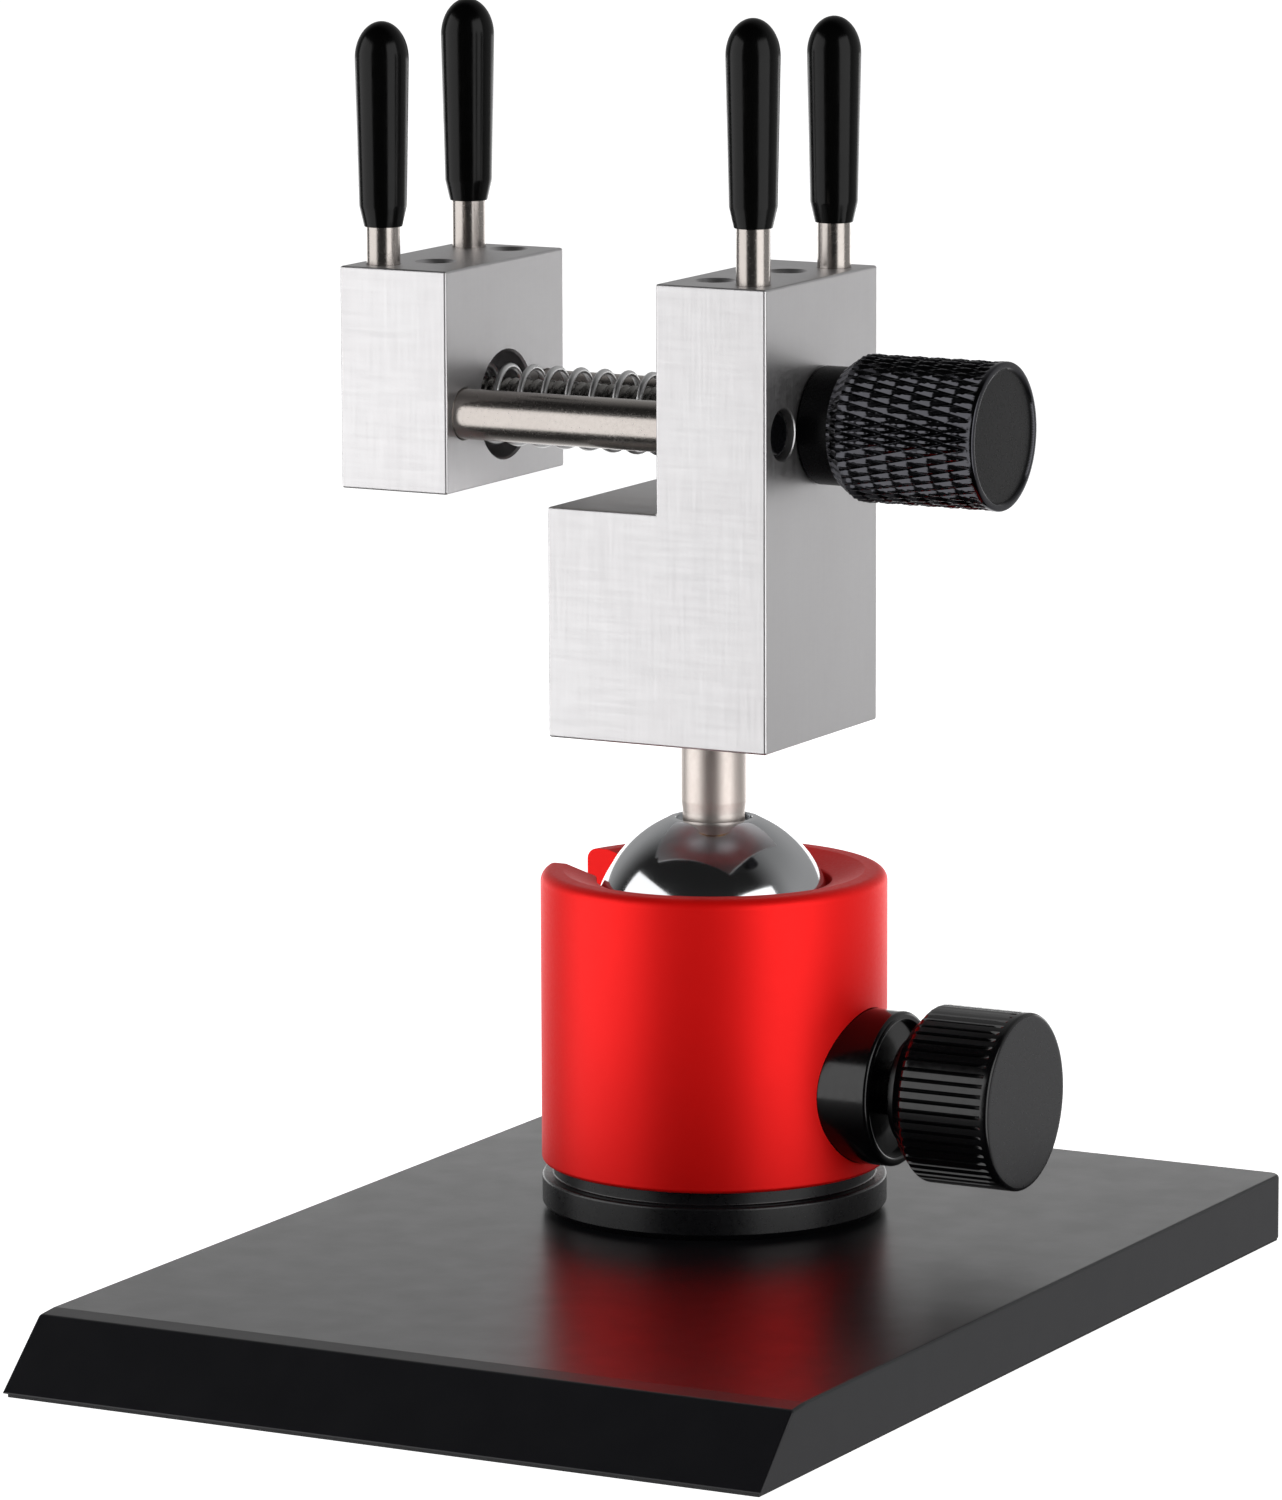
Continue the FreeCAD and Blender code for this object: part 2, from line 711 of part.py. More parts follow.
def pins_and_caps():
    places = {
        "fixed": "head_x + jaw_thick - pin_edge",
        "moving": "head_x + moving_back + pin_edge",
    }
    for side, x in places.items():
        for name, y in (("front", "head_y - pin_spread"), ("rear", "head_y + pin_spread")):
            pin = cylinder(f"{name}_{side}_rod", "pin_radius", "pin_length")
            finish(pin, f"{name}_{side}_pin", x, y, "jaw_top - pin_bore_deep")
            low = f"show_{name}_{side}"
            mouth = doc.addObject("Part::Cone", f"{name}_{side}_mouth")
            bind(mouth, Radius1="cap_mouth_radius", Radius2="cap_low_radius", Height="cap_bevel_high")
            sleeve = doc.addObject("Part::Cone", f"{name}_{side}_sleeve")
            bind(sleeve, Radius1="cap_low_radius", Radius2="cap_radius", Height="cap_body_high")
            move(sleeve, z="cap_bevel_high")
            dome = doc.addObject("Part::Ellipsoid", f"{name}_{side}_dome")
            dome.Angle1 = 0
            bind(dome, Radius1="cap_dome_high", Radius2="cap_radius", Radius3="cap_radius")
            move(dome, z="cap_bevel_high + cap_body_high")
            hollow = cylinder(f"{name}_{side}_hollow", "pin_radius", "cap_hollow")
            cap = cut(f"{name}_{side}_cover", join(f"{name}_{side}_skin", [mouth, sleeve, dome]), hollow)
            finish(cap, f"{name}_{side}_cap", x, y, f"jaw_top + {low}")


# --- Clamp screw ------------------------------------------------------------------------------------

def lead_screw():
    start = "moving_back + screw_end_short"
    end = "jaw_thick + clamp_hub_length + clamp_knob_length - clamp_knob_end"
    groove = "recess_deep - run_gap - ring_thick"
    rod = turned("screw", [
        ("0", start),
        ("screw_radius - screw_chamfer", start),
        ("screw_radius", start + " + screw_chamfer"),
        ("screw_radius", groove),
        ("ring_groove_radius", groove),
        ("ring_groove_radius", groove + " + ring_thick"),
        ("screw_radius", groove + " + ring_thick"),
        ("screw_radius", end),
        ("0", end),
    ])
    finish_on_axis(rod, "lead_screw", "screw_z")
    clip = turned("clip", [
        ("ring_groove_radius", groove),
        ("ring_radius", groove),
        ("ring_radius", groove + " + ring_thick"),
        ("ring_groove_radius", groove + " + ring_thick"),
    ])
    finish_on_axis(clip, "retaining_ring", "screw_z")


def clamp_knob():
    hub = "jaw_thick + 2 * run_gap"
    back = "jaw_thick + clamp_hub_length"
    face = back + " + clamp_knob_length"
    knob = turned("clamp_grip", [
        ("screw_radius", hub),
        ("clamp_hub_radius", hub),
        ("clamp_hub_radius", back),
        ("clamp_knob_radius - clamp_knob_back_chamfer", back),
        ("clamp_knob_radius", back + " + clamp_knob_back_chamfer"),
        ("clamp_knob_radius", face + " - clamp_knob_chamfer"),
        ("clamp_knob_radius - clamp_knob_chamfer", face),
        ("clamp_dish_radius", face),
        ("clamp_dish_radius - clamp_dish_deep", face + " - clamp_dish_deep"),
        ("0", face + " - clamp_dish_deep"),
        ("0", face + " - clamp_knob_end"),
        ("screw_radius", face + " - clamp_knob_end"),
    ])
    # The knob is drawn about its own upright axis, so the grub screw's bore lies along local Y.
    bore = cylinder("grub_bore", "grub_radius", "clamp_hub_radius", y="screw_radius",
                    z="jaw_thick + clamp_hub_length / 2", turn=ALONG_Y)
    finish_on_axis(cut("clamp_cut", knob, bore), "clamp_knob", "screw_z")
    grub = cylinder("grub", "grub_radius", "grub_length")
    finish(grub, "clamp_set_screw", "head_x + jaw_thick + clamp_hub_length / 2",
           "head_y + screw_radius", "screw_z", ALONG_Y)


def jaw_spring():
    low = "moving_face - recess_deep"
    coil = turned("coil", [
        ("spring_bore", low),
        ("spring_radius", low),
        ("spring_radius", "recess_deep"),
        ("spring_bore", "recess_deep"),
    ])
    finish_on_axis(coil, "jaw_spring", "screw_z")


def check_model():
    doc.recompute()
    for thing in doc.Objects:
        if {"Invalid", "Error"} & set(thing.State):
            raise RuntimeError(f"{thing.Name} failed: {thing.State}")
    for thing in finished:
        if thing.Shape.isNull() or not thing.Shape.isValid() or thing.Shape.Volume <= 0:
            raise RuntimeError(f"{thing.Label} has no sound shape")


fill_sheet()
for build in (base_plate, antislip_sheet, base_flange, base_bolt, ball_housing, ball_liner, lift_block,
              lock_collar, lock_wedge, lock_screw, lock_knob, ball_seat, ball, stem, stem_ring, fixed_jaw,
              moving_jaw, guide_rods, screw_bushing, pins_and_caps, lead_screw, clamp_knob, jaw_spring):
    build()
check_model()
os.makedirs("parts", exist_ok=True)
for thing in finished:
    thing.Shape.exportStep(f"parts/{thing.Label}.step")
    print(f"{thing.Label}: {thing.Shape.Volume:.1f} mm3, {len(thing.Shape.Solids)} solid")
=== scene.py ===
import json
import math

import bmesh
import bpy
from mathutils import Matrix, Vector


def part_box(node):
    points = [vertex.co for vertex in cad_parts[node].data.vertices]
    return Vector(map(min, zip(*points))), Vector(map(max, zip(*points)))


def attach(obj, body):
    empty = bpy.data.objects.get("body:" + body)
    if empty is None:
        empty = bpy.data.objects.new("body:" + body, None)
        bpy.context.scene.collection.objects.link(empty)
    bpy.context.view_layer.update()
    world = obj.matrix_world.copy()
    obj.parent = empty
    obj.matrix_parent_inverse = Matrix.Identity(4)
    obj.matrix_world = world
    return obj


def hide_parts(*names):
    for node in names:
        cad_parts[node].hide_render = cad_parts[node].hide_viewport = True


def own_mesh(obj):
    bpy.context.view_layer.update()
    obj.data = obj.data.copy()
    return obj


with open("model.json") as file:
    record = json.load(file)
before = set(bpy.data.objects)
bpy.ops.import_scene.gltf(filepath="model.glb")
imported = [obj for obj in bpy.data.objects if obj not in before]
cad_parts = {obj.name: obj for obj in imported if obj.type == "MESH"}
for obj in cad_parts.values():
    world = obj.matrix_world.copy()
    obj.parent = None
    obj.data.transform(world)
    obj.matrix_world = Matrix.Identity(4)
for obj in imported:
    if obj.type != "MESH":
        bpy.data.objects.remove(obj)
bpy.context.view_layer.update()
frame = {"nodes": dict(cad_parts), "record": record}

# A watch-case holder: a small aluminium screw vise with four capped pins, on a ball head, on a steel plate.
# Metres throughout; a size in millimetres is written times MM. Every place comes from the frame.

MM = 0.001
FULL_TURN = 2 * math.pi

# Local Z becomes the axis of a turned piece
UPRIGHT = Matrix.Identity(3)
TO_RIGHT = Matrix(((0, 0, 1), (0, 1, 0), (-1, 0, 0)))
TO_LEFT = Matrix(((0, 0, -1), (0, 1, 0), (1, 0, 0)))


def low(node):
    """The corner of a CAD piece's box with the least x, y and z."""
    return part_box(node)[0]


def high(node):
    """The corner of a CAD piece's box with the greatest x, y and z."""
    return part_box(node)[1]


def middle(node):
    """The middle of a CAD piece's box."""
    return (low(node) + high(node)) / 2


def half_across(node, way):
    """Half of what a CAD piece measures along x, y or z."""
    return (getattr(high(node), way) - getattr(low(node), way)) / 2


def direction(around, above):
    """A way out from the head: degrees from the front towards the right, and degrees up."""
    across, up = math.radians(around), math.radians(above)
    return Vector((math.sin(across) * math.cos(up), -math.cos(across) * math.cos(up), math.sin(up)))


HEAD = middle("ball")
SCREW = middle("lead_screw")
LOCK = middle("lock_screw")
BALL_RADIUS = 18 * MM
BALL_Z = low("ball").z + BALL_RADIUS

# The axes that turned pieces share
HEAD_AXIS = Vector((HEAD.x, HEAD.y, 0))
SCREW_AXIS = Vector((0, SCREW.y, SCREW.z))
LOCK_AXIS = Vector((0, LOCK.y, LOCK.z))

# Radii of the bores that more than one piece has
SCREW_BORE = 4.05 * MM
ROD_BORE = 3.8 * MM
PIN_BORE = 2.55 * MM
SPRING_RECESS, RECESS_DEEP = 8 * MM, 6 * MM

# How far a cutter stands out past the face that it opens
PAST = MM

# The rounding on the edges of both jaws
JAW_EDGE = 0.4 * MM


# --- Nodes ------------------------------------------------------------------------------------------

def add_node(tree, kind, links=None, **settings):
    """Add a node; links gives each input, by name or number, a value or another node's output."""
    node = tree.nodes.new(kind)
    for name, setting in settings.items():
        setattr(node, name, setting)
    for key, source in (links or {}).items():
        if isinstance(source, bpy.types.NodeSocket):
            tree.links.new(source, node.inputs[key])
        else:
            node.inputs[key].default_value = source
    return node


def linear(colour):
    """A hex sRGB colour as linear RGBA."""
    parts = [int(colour[i:i + 2], 16) / 255 for i in (1, 3, 5)]
    return tuple(c / 12.92 if c <= 0.04045 else ((c + 0.055) / 1.055) ** 2.4 for c in parts) + (1.0,)


# --- Finishes ---------------------------------------------------------------------------------------

def new_finish(name, **sockets):
    """A material whose shader sockets are set directly."""
    material = bpy.data.materials.new(name)
    material.use_nodes = True
    tree = material.node_tree
    shader = tree.nodes["Principled BSDF"]
    for socket, setting in sockets.items():
        shader.inputs[socket.replace("_", " ")].default_value = setting
    return material, tree, shader


def grain(tree, size, detail=3.0, stretch=(1, 1, 1), turn=(0, 0, 0)):
    """A noise over the piece whose patches are about size across, longer where stretch is under 1."""
    place = add_node(tree, "ShaderNodeTexCoord")
    laid = add_node(tree, "ShaderNodeMapping", {"Vector": place.outputs["Object"], "Scale": stretch,
                                                "Rotation": turn})
    return add_node(tree, "ShaderNodeTexNoise", {"Vector": laid.outputs["Vector"], "Scale": 1 / size,
                                                 "Detail": detail}).outputs["Fac"]


def surface(tree, shader, shade, colours, wear, gloss, relief=None, depth=0.0):
    """Drive colour by one grain, roughness by another and, if given, a fine relief by a third."""
    tint = add_node(tree, "ShaderNodeMix", {0: shade, 6: linear(colours[0]), 7: linear(colours[1])},
                    data_type="RGBA")
    tree.links.new(tint.outputs[2], shader.inputs["Base Color"])
    rough = add_node(tree, "ShaderNodeMapRange", {"Value": wear, "From Min": 0.3, "From Max": 0.7,
                                                  "To Min": gloss[0], "To Max": gloss[1]})
    tree.links.new(rough.outputs["Result"], shader.inputs["Roughness"])
    if relief is not None:
        ridges = add_node(tree, "ShaderNodeBump", {"Height": relief, "Distance": depth, "Strength": 1.0})
        tree.links.new(ridges.outputs["Normal"], shader.inputs["Normal"])


def powder_coated_steel():
    """Steel plate with black polyester powder baked on: satin, with a faint orange-peel ripple."""
    material, tree, shader = new_finish("powder_coated_steel", IOR=1.42)
    surface(tree, shader, grain(tree, 30 * MM), ("#121215", "#151518"), grain(tree, 6 * MM), (0.28, 0.32),
            grain(tree, 1.2 * MM, 1.0), 0.003 * MM)
    return material


def red_anodised_aluminium():
    """Bead-blasted aluminium, anodised and dyed red: a metal red with a soft, wide gloss."""
    material, tree, shader = new_finish("red_anodised_aluminium", Metallic=0.55, IOR=1.45)
    surface(tree, shader, grain(tree, 12 * MM), ("#f80603", "#ff0805"), grain(tree, 0.5 * MM), (0.44, 0.52),
            grain(tree, 0.25 * MM), 0.004 * MM)
    return material


def satin_black_anodised_aluminium():
    """Turned aluminium, anodised black: near-black with a grey satin gloss."""
    material, tree, shader = new_finish("satin_black_anodised_aluminium", IOR=1.55)
    surface(tree, shader, grain(tree, 8 * MM), ("#0a0a0c", "#0f0f12"), grain(tree, 0.6 * MM), (0.26, 0.36),
            grain(tree, 0.2 * MM), 0.002 * MM)
    return material


def gloss_black_anodised_aluminium():
    """Rolled and tumbled aluminium, anodised black: sharp small glints on every edge."""
    material, tree, shader = new_finish("gloss_black_anodised_aluminium", IOR=1.5)
    surface(tree, shader, grain(tree, 4 * MM), ("#030304", "#070708"), grain(tree, 0.8 * MM), (0.12, 0.2))
    return material


def black_nickel_plate():
    """Black nickel over knurled brass: a dark mirror, so each small face is either black or glaring."""
    material, tree, shader = new_finish("black_nickel_plate", Metallic=1.0)
    surface(tree, shader, grain(tree, 4 * MM), ("#404044", "#4c4c50"), grain(tree, 0.8 * MM), (0.1, 0.16))
    return material


def knob_black_painted_dark():
    """A near-black copy of the knob's black that hardly reflects: painted shade and a painted dark reflection
    on the knob's hub and dished face.
    """
    material, tree, shader = new_finish("knob_black_painted_dark", IOR=1.2)
    surface(tree, shader, grain(tree, 4 * MM), ("#030304", "#060607"), grain(tree, 0.8 * MM), (0.25, 0.32))
    return material


def brushed_stainless_steel():
    """Stainless steel drawn along fine emery: a broad, slightly warm sheen."""
    material, tree, shader = new_finish("brushed_stainless_steel", Metallic=1.0)
    surface(tree, shader, grain(tree, 6 * MM), ("#d3c9c2", "#ddd5cf"), grain(tree, 0.4 * MM), (0.4, 0.5),
            grain(tree, 0.2 * MM), 0.001 * MM)
    return material


def milled_aluminium():
    """Bare aluminium, milled and rubbed on abrasive paper: bright satin with fine crossed scratches."""
    material, tree, shader = new_finish("milled_aluminium", Metallic=1.0)
    upward = grain(tree, 0.45 * MM, 4.0, (1, 1, 0.05), (0.25, 0.15, 0))
    across = grain(tree, 0.55 * MM, 4.0, (0.06, 0.3, 1), (0, 0.45, 0.35))
    scratches = add_node(tree, "ShaderNodeMath", {0: upward, 1: across}, operation="ADD").outputs[0]
    half = add_node(tree, "ShaderNodeMath", {0: scratches, 1: 0.5}, operation="MULTIPLY").outputs[0]
    surface(tree, shader, grain(tree, 14 * MM), ("#cfcdce", "#d5d4d5"), half, (0.34, 0.45),
            scratches, 0.006 * MM)
    return material


def ground_steel():
    """Centreless-ground steel rod: nearly a mirror, with faint rings left by the wheel."""
    material, tree, shader = new_finish("ground_steel", Metallic=1.0)
    surface(tree, shader, grain(tree, 9 * MM), ("#aba49f", "#b6b0ab"), grain(tree, 0.5 * MM), (0.2, 0.28),
            grain(tree, 0.15 * MM), 0.0002 * MM)
    return material


def chrome_plate():
    """Buffed chrome plating: almost a perfect mirror, with wipe marks."""
    material, tree, shader = new_finish("chrome_plate", Metallic=1.0)
    surface(tree, shader, grain(tree, 10 * MM), ("#c4c6c8", "#cfd0d2"), grain(tree, 5 * MM), (0.07, 0.11))
    return material


def black_oxide_steel():
    """Hardened steel with black oxide and a film of oil: dark brown-grey."""
    material, tree, shader = new_finish("black_oxide_steel", Metallic=0.7)
    surface(tree, shader, grain(tree, 3 * MM), ("#1c1b1a", "#262422"), grain(tree, 1 * MM), (0.2, 0.32))
    return material


def turned_brass():
    """Turned brass: warm yellow metal with fine tool lines."""
    material, tree, shader = new_finish("turned_brass", Metallic=1.0)
    surface(tree, shader, grain(tree, 3 * MM), ("#b98a4c", "#cfa364"), grain(tree, 0.5 * MM), (0.2, 0.3))
    return material


def drawn_spring_wire():
    """Drawn spring wire: bright steel with fine die lines."""
    material, tree, shader = new_finish("drawn_spring_wire", Metallic=1.0)
    surface(tree, shader, grain(tree, 2 * MM), ("#e2e2e2", "#eeeeee"), grain(tree, 0.4 * MM), (0.3, 0.4))
    return material


def dipped_vinyl():
    """Dip-moulded PVC: deep gloss black, softly uneven where it ran off in the dipping."""
    material, tree, shader = new_finish("dipped_vinyl", IOR=1.27)
    surface(tree, shader, grain(tree, 5 * MM), ("#020202", "#040404"), grain(tree, 2 * MM), (0.15, 0.22),
            grain(tree, 2.5 * MM, 1.0), 0.008 * MM)
    return material


def moulded_nitrile():
    """Moulded nitrile sheet: matt charcoal with a fine grain."""
    material, tree, shader = new_finish("moulded_nitrile", IOR=1.52)
    surface(tree, shader, grain(tree, 4 * MM), ("#232324", "#2c2c2d"), grain(tree, 0.5 * MM), (0.7, 0.9),
            grain(tree, 0.4 * MM), 0.02 * MM)
    return material


def turned_acetal():
    """Turned acetal resin: waxy black plastic."""
    material, tree, shader = new_finish("turned_acetal", IOR=1.48)
    surface(tree, shader, grain(tree, 4 * MM), ("#151516", "#1c1c1d"), grain(tree, 0.6 * MM), (0.35, 0.5))
    return material


def turned_steel():
    """Plain turned steel with a light film of oil: mid grey."""
    material, tree, shader = new_finish("turned_steel", Metallic=1.0)
    surface(tree, shader, grain(tree, 3 * MM), ("#6f6d6a", "#858380"), grain(tree, 0.4 * MM), (0.2, 0.34))
    return material


PLATE = powder_coated_steel()
RED = red_anodised_aluminium()
SATIN_BLACK = satin_black_anodised_aluminium()
GLOSS_BLACK = gloss_black_anodised_aluminium()
BLACK_NICKEL = black_nickel_plate()
# The clamp knob's hub and face get a darker, duller copy of its black: painted shade and painted dark
# reflection.
KNOB_BLACK_PAINTED_DARK = knob_black_painted_dark()
STAINLESS = brushed_stainless_steel()
JAW = milled_aluminium()
ROD = ground_steel()
CHROME = chrome_plate()
OXIDE = black_oxide_steel()
BRASS = turned_brass()
WIRE = drawn_spring_wire()
VINYL = dipped_vinyl()
RUBBER = moulded_nitrile()
ACETAL = turned_acetal()
STEEL = turned_steel()


# --- Making a mesh ----------------------------------------------------------------------------------

def soften(corners, steps=4):
    """Round an outline: each corner is (across, along) or (across, along, radius)."""
    points = []
    for index, corner in enumerate(corners):
        here = Vector(corner[:2])
        radius = corner[2] if len(corner) > 2 else 0
        if radius <= 0:
            points.append(here)
            continue
        back = Vector(corners[index - 1][:2]) - here
        on = Vector(corners[(index + 1) % len(corners)][:2]) - here
        half = back.angle(on) / 2
        reach = min(radius / math.tan(half), 0.49 * back.length, 0.49 * on.length)
        centre = here + (back.normalized() + on.normalized()).normalized() * reach / math.cos(half)
        start = here + back.normalized() * reach - centre
        end = here + on.normalized() * reach - centre
        first = math.atan2(start.y, start.x)
        sweep = (math.atan2(end.y, end.x) - first + math.pi) % FULL_TURN - math.pi
        for step in range(steps + 1):
            angle = first + sweep * step / steps
            points.append(centre + start.length * Vector((math.cos(angle), math.sin(angle))))
    return points


def arc(radius, centre, start, end, steps):
    """Points (radius, along) on a circle whose centre is on the axis; angles in degrees from the axis."""
    angles = [math.radians(start + (end - start) * step / steps) for step in range(steps + 1)]
    return [(radius * math.sin(angle), centre + radius * math.cos(angle)) for angle in angles]


def stepped(start, end, count):
    """Evenly spaced places from start to end, both included."""
    return [start + (end - start) * step / count for step in range(count + 1)]


def closed_mesh(shape, name):
    """Merge what meets, drop slivers, turn the faces outwards and hand back a mesh."""
    bmesh.ops.remove_doubles(shape, verts=shape.verts, dist=1e-7)
    bmesh.ops.dissolve_degenerate(shape, edges=shape.edges, dist=1e-7)
    bmesh.ops.recalc_face_normals(shape, faces=shape.faces)
    mesh = bpy.data.meshes.new(name)
    shape.to_mesh(mesh)
    shape.free()
    return mesh


def lathe(name, outline, place, axis=UPRIGHT, around=96, staggered=False):
    """Turn a closed outline of (radius, distance along) about an axis through a place.

    Staggered rings lie half a step apart, so that both hands of a diamond knurl follow mesh edges.
    """
    shape = bmesh.new()
    rings = []
    for row, (radius, along) in enumerate(outline):
        shift = 0.5 * (row % 2) if staggered else 0
        angles = [FULL_TURN * (step + shift) / around for step in range(around)]
        spokes = [Vector((radius * math.cos(angle), radius * math.sin(angle), along)) for angle in angles]
        rings.append([shape.verts.new(place + axis @ spoke) for spoke in spokes])
    for row, (ring, beyond) in enumerate(zip(rings, rings[1:] + rings[:1])):
        for step in range(around):
            on = (step + 1) % around
            if not staggered or row == len(rings) - 1:
                shape.faces.new((ring[step], ring[on], beyond[on], beyond[step]))
            elif row % 2 == 0:
                shape.faces.new((ring[step], ring[on], beyond[step]))
                shape.faces.new((beyond[on], beyond[step], ring[on]))
            else:
                shape.faces.new((ring[step], ring[on], beyond[on]))
                shape.faces.new((beyond[on], beyond[step], ring[step]))
    return closed_mesh(shape, name)


def loft(name, rings):
    """Skin a row of rings that have the same number of points, and close both ends."""
    shape = bmesh.new()
    rows = [[shape.verts.new(point) for point in ring] for ring in rings]
    for ring, beyond in zip(rows, rows[1:]):
        for step in range(len(ring)):
            on = (step + 1) % len(ring)
            shape.faces.new((ring[step], ring[on], beyond[on], beyond[step]))
    shape.faces.new(rows[0])
    shape.faces.new(rows[-1])
    return closed_mesh(shape, name)


def cut_from(name, blank, tools, edge=0.0):
    """Round a blank's edges, then take the tools out of it."""
    block = bpy.data.objects.new(name, blank)
    bpy.context.scene.collection.objects.link(block)
    spent = [block]
    if edge:
        rounding = block.modifiers.new("edges", "BEVEL")
        rounding.width = edge
        rounding.segments = 3
        rounding.limit_method = "ANGLE"
    for tool in tools:
        cutter = bpy.data.objects.new(tool.name, tool)
        bpy.context.scene.collection.objects.link(cutter)
        spent.append(cutter)
        cut = block.modifiers.new(tool.name, "BOOLEAN")
        cut.object = cutter
        cut.solver = "EXACT"
    result = bpy.data.meshes.new_from_object(block.evaluated_get(bpy.context.evaluated_depsgraph_get()))
    for thing in spent:
        bpy.data.objects.remove(thing)
    return result


def bore(name, radius, deep, mouth, axis, lip=0.2 * MM):
    """A cutter: a bore that opens at its mouth along the axis, with a chamfered lip."""
    corners = [(0, -deep), (radius, -deep), (radius, -lip), (radius + lip, 0), (radius + lip, PAST),
               (0, PAST)]
    return lathe(name, corners, mouth, axis, around=48)


def show(name, mesh, node, body, finish, sharp=32, second=None, where=None):
    """Put a finished mesh on a body in place of a CAD node, with smooth faces and crisp edges."""
    mesh.materials.clear()
    mesh.materials.append(finish)
    if second:
        mesh.materials.append(second)
        for face in mesh.polygons:
            face.material_index = 1 if where(face.center) else 0
    mesh.polygons.foreach_set("use_smooth", [True] * len(mesh.polygons))
    mesh.set_sharp_from_angle(angle=math.radians(sharp))
    piece = bpy.data.objects.new(name, mesh)
    bpy.context.scene.collection.objects.link(piece)
    evened = piece.modifiers.new("evened_shading", "WEIGHTED_NORMAL")
    evened.keep_sharp = True
    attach(piece, body)
    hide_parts(node)
    return piece


# --- Growing what repeats ---------------------------------------------------------------------------

def new_tree(name, **inputs):
    """A geometry tree with a Shape, a Finish and named inputs; returns the tree and its input node."""
    tree = bpy.data.node_groups.new(name, "GeometryNodeTree")
    tree.interface.new_socket("Shape", in_out="OUTPUT", socket_type="NodeSocketGeometry")
    tree.interface.new_socket("Shape", in_out="INPUT", socket_type="NodeSocketGeometry")
    tree.interface.new_socket("Finish", in_out="INPUT", socket_type="NodeSocketMaterial")
    for title, kind in inputs.items():
        tree.interface.new_socket(title, in_out="INPUT", socket_type="NodeSocket" + kind)
    return tree, add_node(tree, "NodeGroupInput")


def end_tree(tree, given, shape):
    """Close a geometry tree: its instances made real and its Finish put on."""
    whole = add_node(tree, "GeometryNodeRealizeInstances", {"Geometry": shape})
    painted = add_node(tree, "GeometryNodeSetMaterial", {"Geometry": whole.outputs[0],
                                                         "Material": given.outputs["Finish"]})
    add_node(tree, "NodeGroupOutput", {"Shape": painted.outputs[0]})
    return tree


def grow(name, tree, blank, **settings):
    """Run a tree on a blank with its inputs set, and hand back a plain mesh."""
    holder = bpy.data.objects.new(name, blank)
    bpy.context.scene.collection.objects.link(holder)
    maker = holder.modifiers.new(name, "NODES")
    maker.node_group = tree
    for item in tree.interface.items_tree:
        if item.in_out == "INPUT" and item.name in settings:
            maker[item.identifier] = settings[item.name]
    mesh = bpy.data.meshes.new_from_object(holder.evaluated_get(bpy.context.evaluated_depsgraph_get()))
    holder.modifiers.remove(maker)
    bpy.data.objects.remove(holder)
    return mesh


def about_axis(tree, given):
    """For a shape turned about an axis along X: its turn from 0 to 1, its X, and the way outwards."""
    spot = add_node(tree, "GeometryNodeInputPosition")
    arm = add_node(tree, "ShaderNodeVectorMath", {0: spot.outputs[0], 1: given.outputs["Centre"]},
                   operation="SUBTRACT")
    flat = add_node(tree, "ShaderNodeVectorMath", {0: arm.outputs[0], 1: (0, 1, 1)}, operation="MULTIPLY")
    outwards = add_node(tree, "ShaderNodeVectorMath", {0: flat.outputs[0]}, operation="NORMALIZE")
    parts = add_node(tree, "ShaderNodeSeparateXYZ", {0: arm.outputs[0]})
    angle = add_node(tree, "ShaderNodeMath", {0: parts.outputs["Z"], 1: parts.outputs["Y"]},
                     operation="ARCTAN2")
    turn = add_node(tree, "ShaderNodeMath", {0: angle.outputs[0], 1: FULL_TURN}, operation="DIVIDE")
    return turn.outputs[0], parts.outputs["X"], outwards.outputs[0]


def pushed_in(tree, given, along, outwards, depth):
    """Move the shape inwards by a depth of 0 to 1 times Depth, between Start and End, fading at both."""
    rise = add_node(tree, "ShaderNodeMath", {0: along, 1: given.outputs["Start"]}, operation="SUBTRACT")
    fall = add_node(tree, "ShaderNodeMath", {0: given.outputs["End"], 1: along}, operation="SUBTRACT")
    inside = add_node(tree, "ShaderNodeMath", {0: rise.outputs[0], 1: fall.outputs[0]},
                      operation="MINIMUM")
    share = add_node(tree, "ShaderNodeMath", {0: inside.outputs[0], 1: given.outputs["Fade"]},
                     operation="DIVIDE", use_clamp=True)
    whole = add_node(tree, "ShaderNodeMath", {0: depth, 1: share.outputs[0]}, operation="MULTIPLY")
    drop = add_node(tree, "ShaderNodeMath", {0: whole.outputs[0], 1: given.outputs["Depth"]},
                    operation="MULTIPLY")
    negative = add_node(tree, "ShaderNodeMath", {0: drop.outputs[0], 1: -1.0}, operation="MULTIPLY")
    move = add_node(tree, "ShaderNodeVectorMath", {0: outwards, "Scale": negative.outputs[0]},
                    operation="SCALE")
    return add_node(tree, "GeometryNodeSetPosition", {"Geometry": given.outputs["Shape"],
                                                      "Offset": move.outputs[0]}).outputs[0]


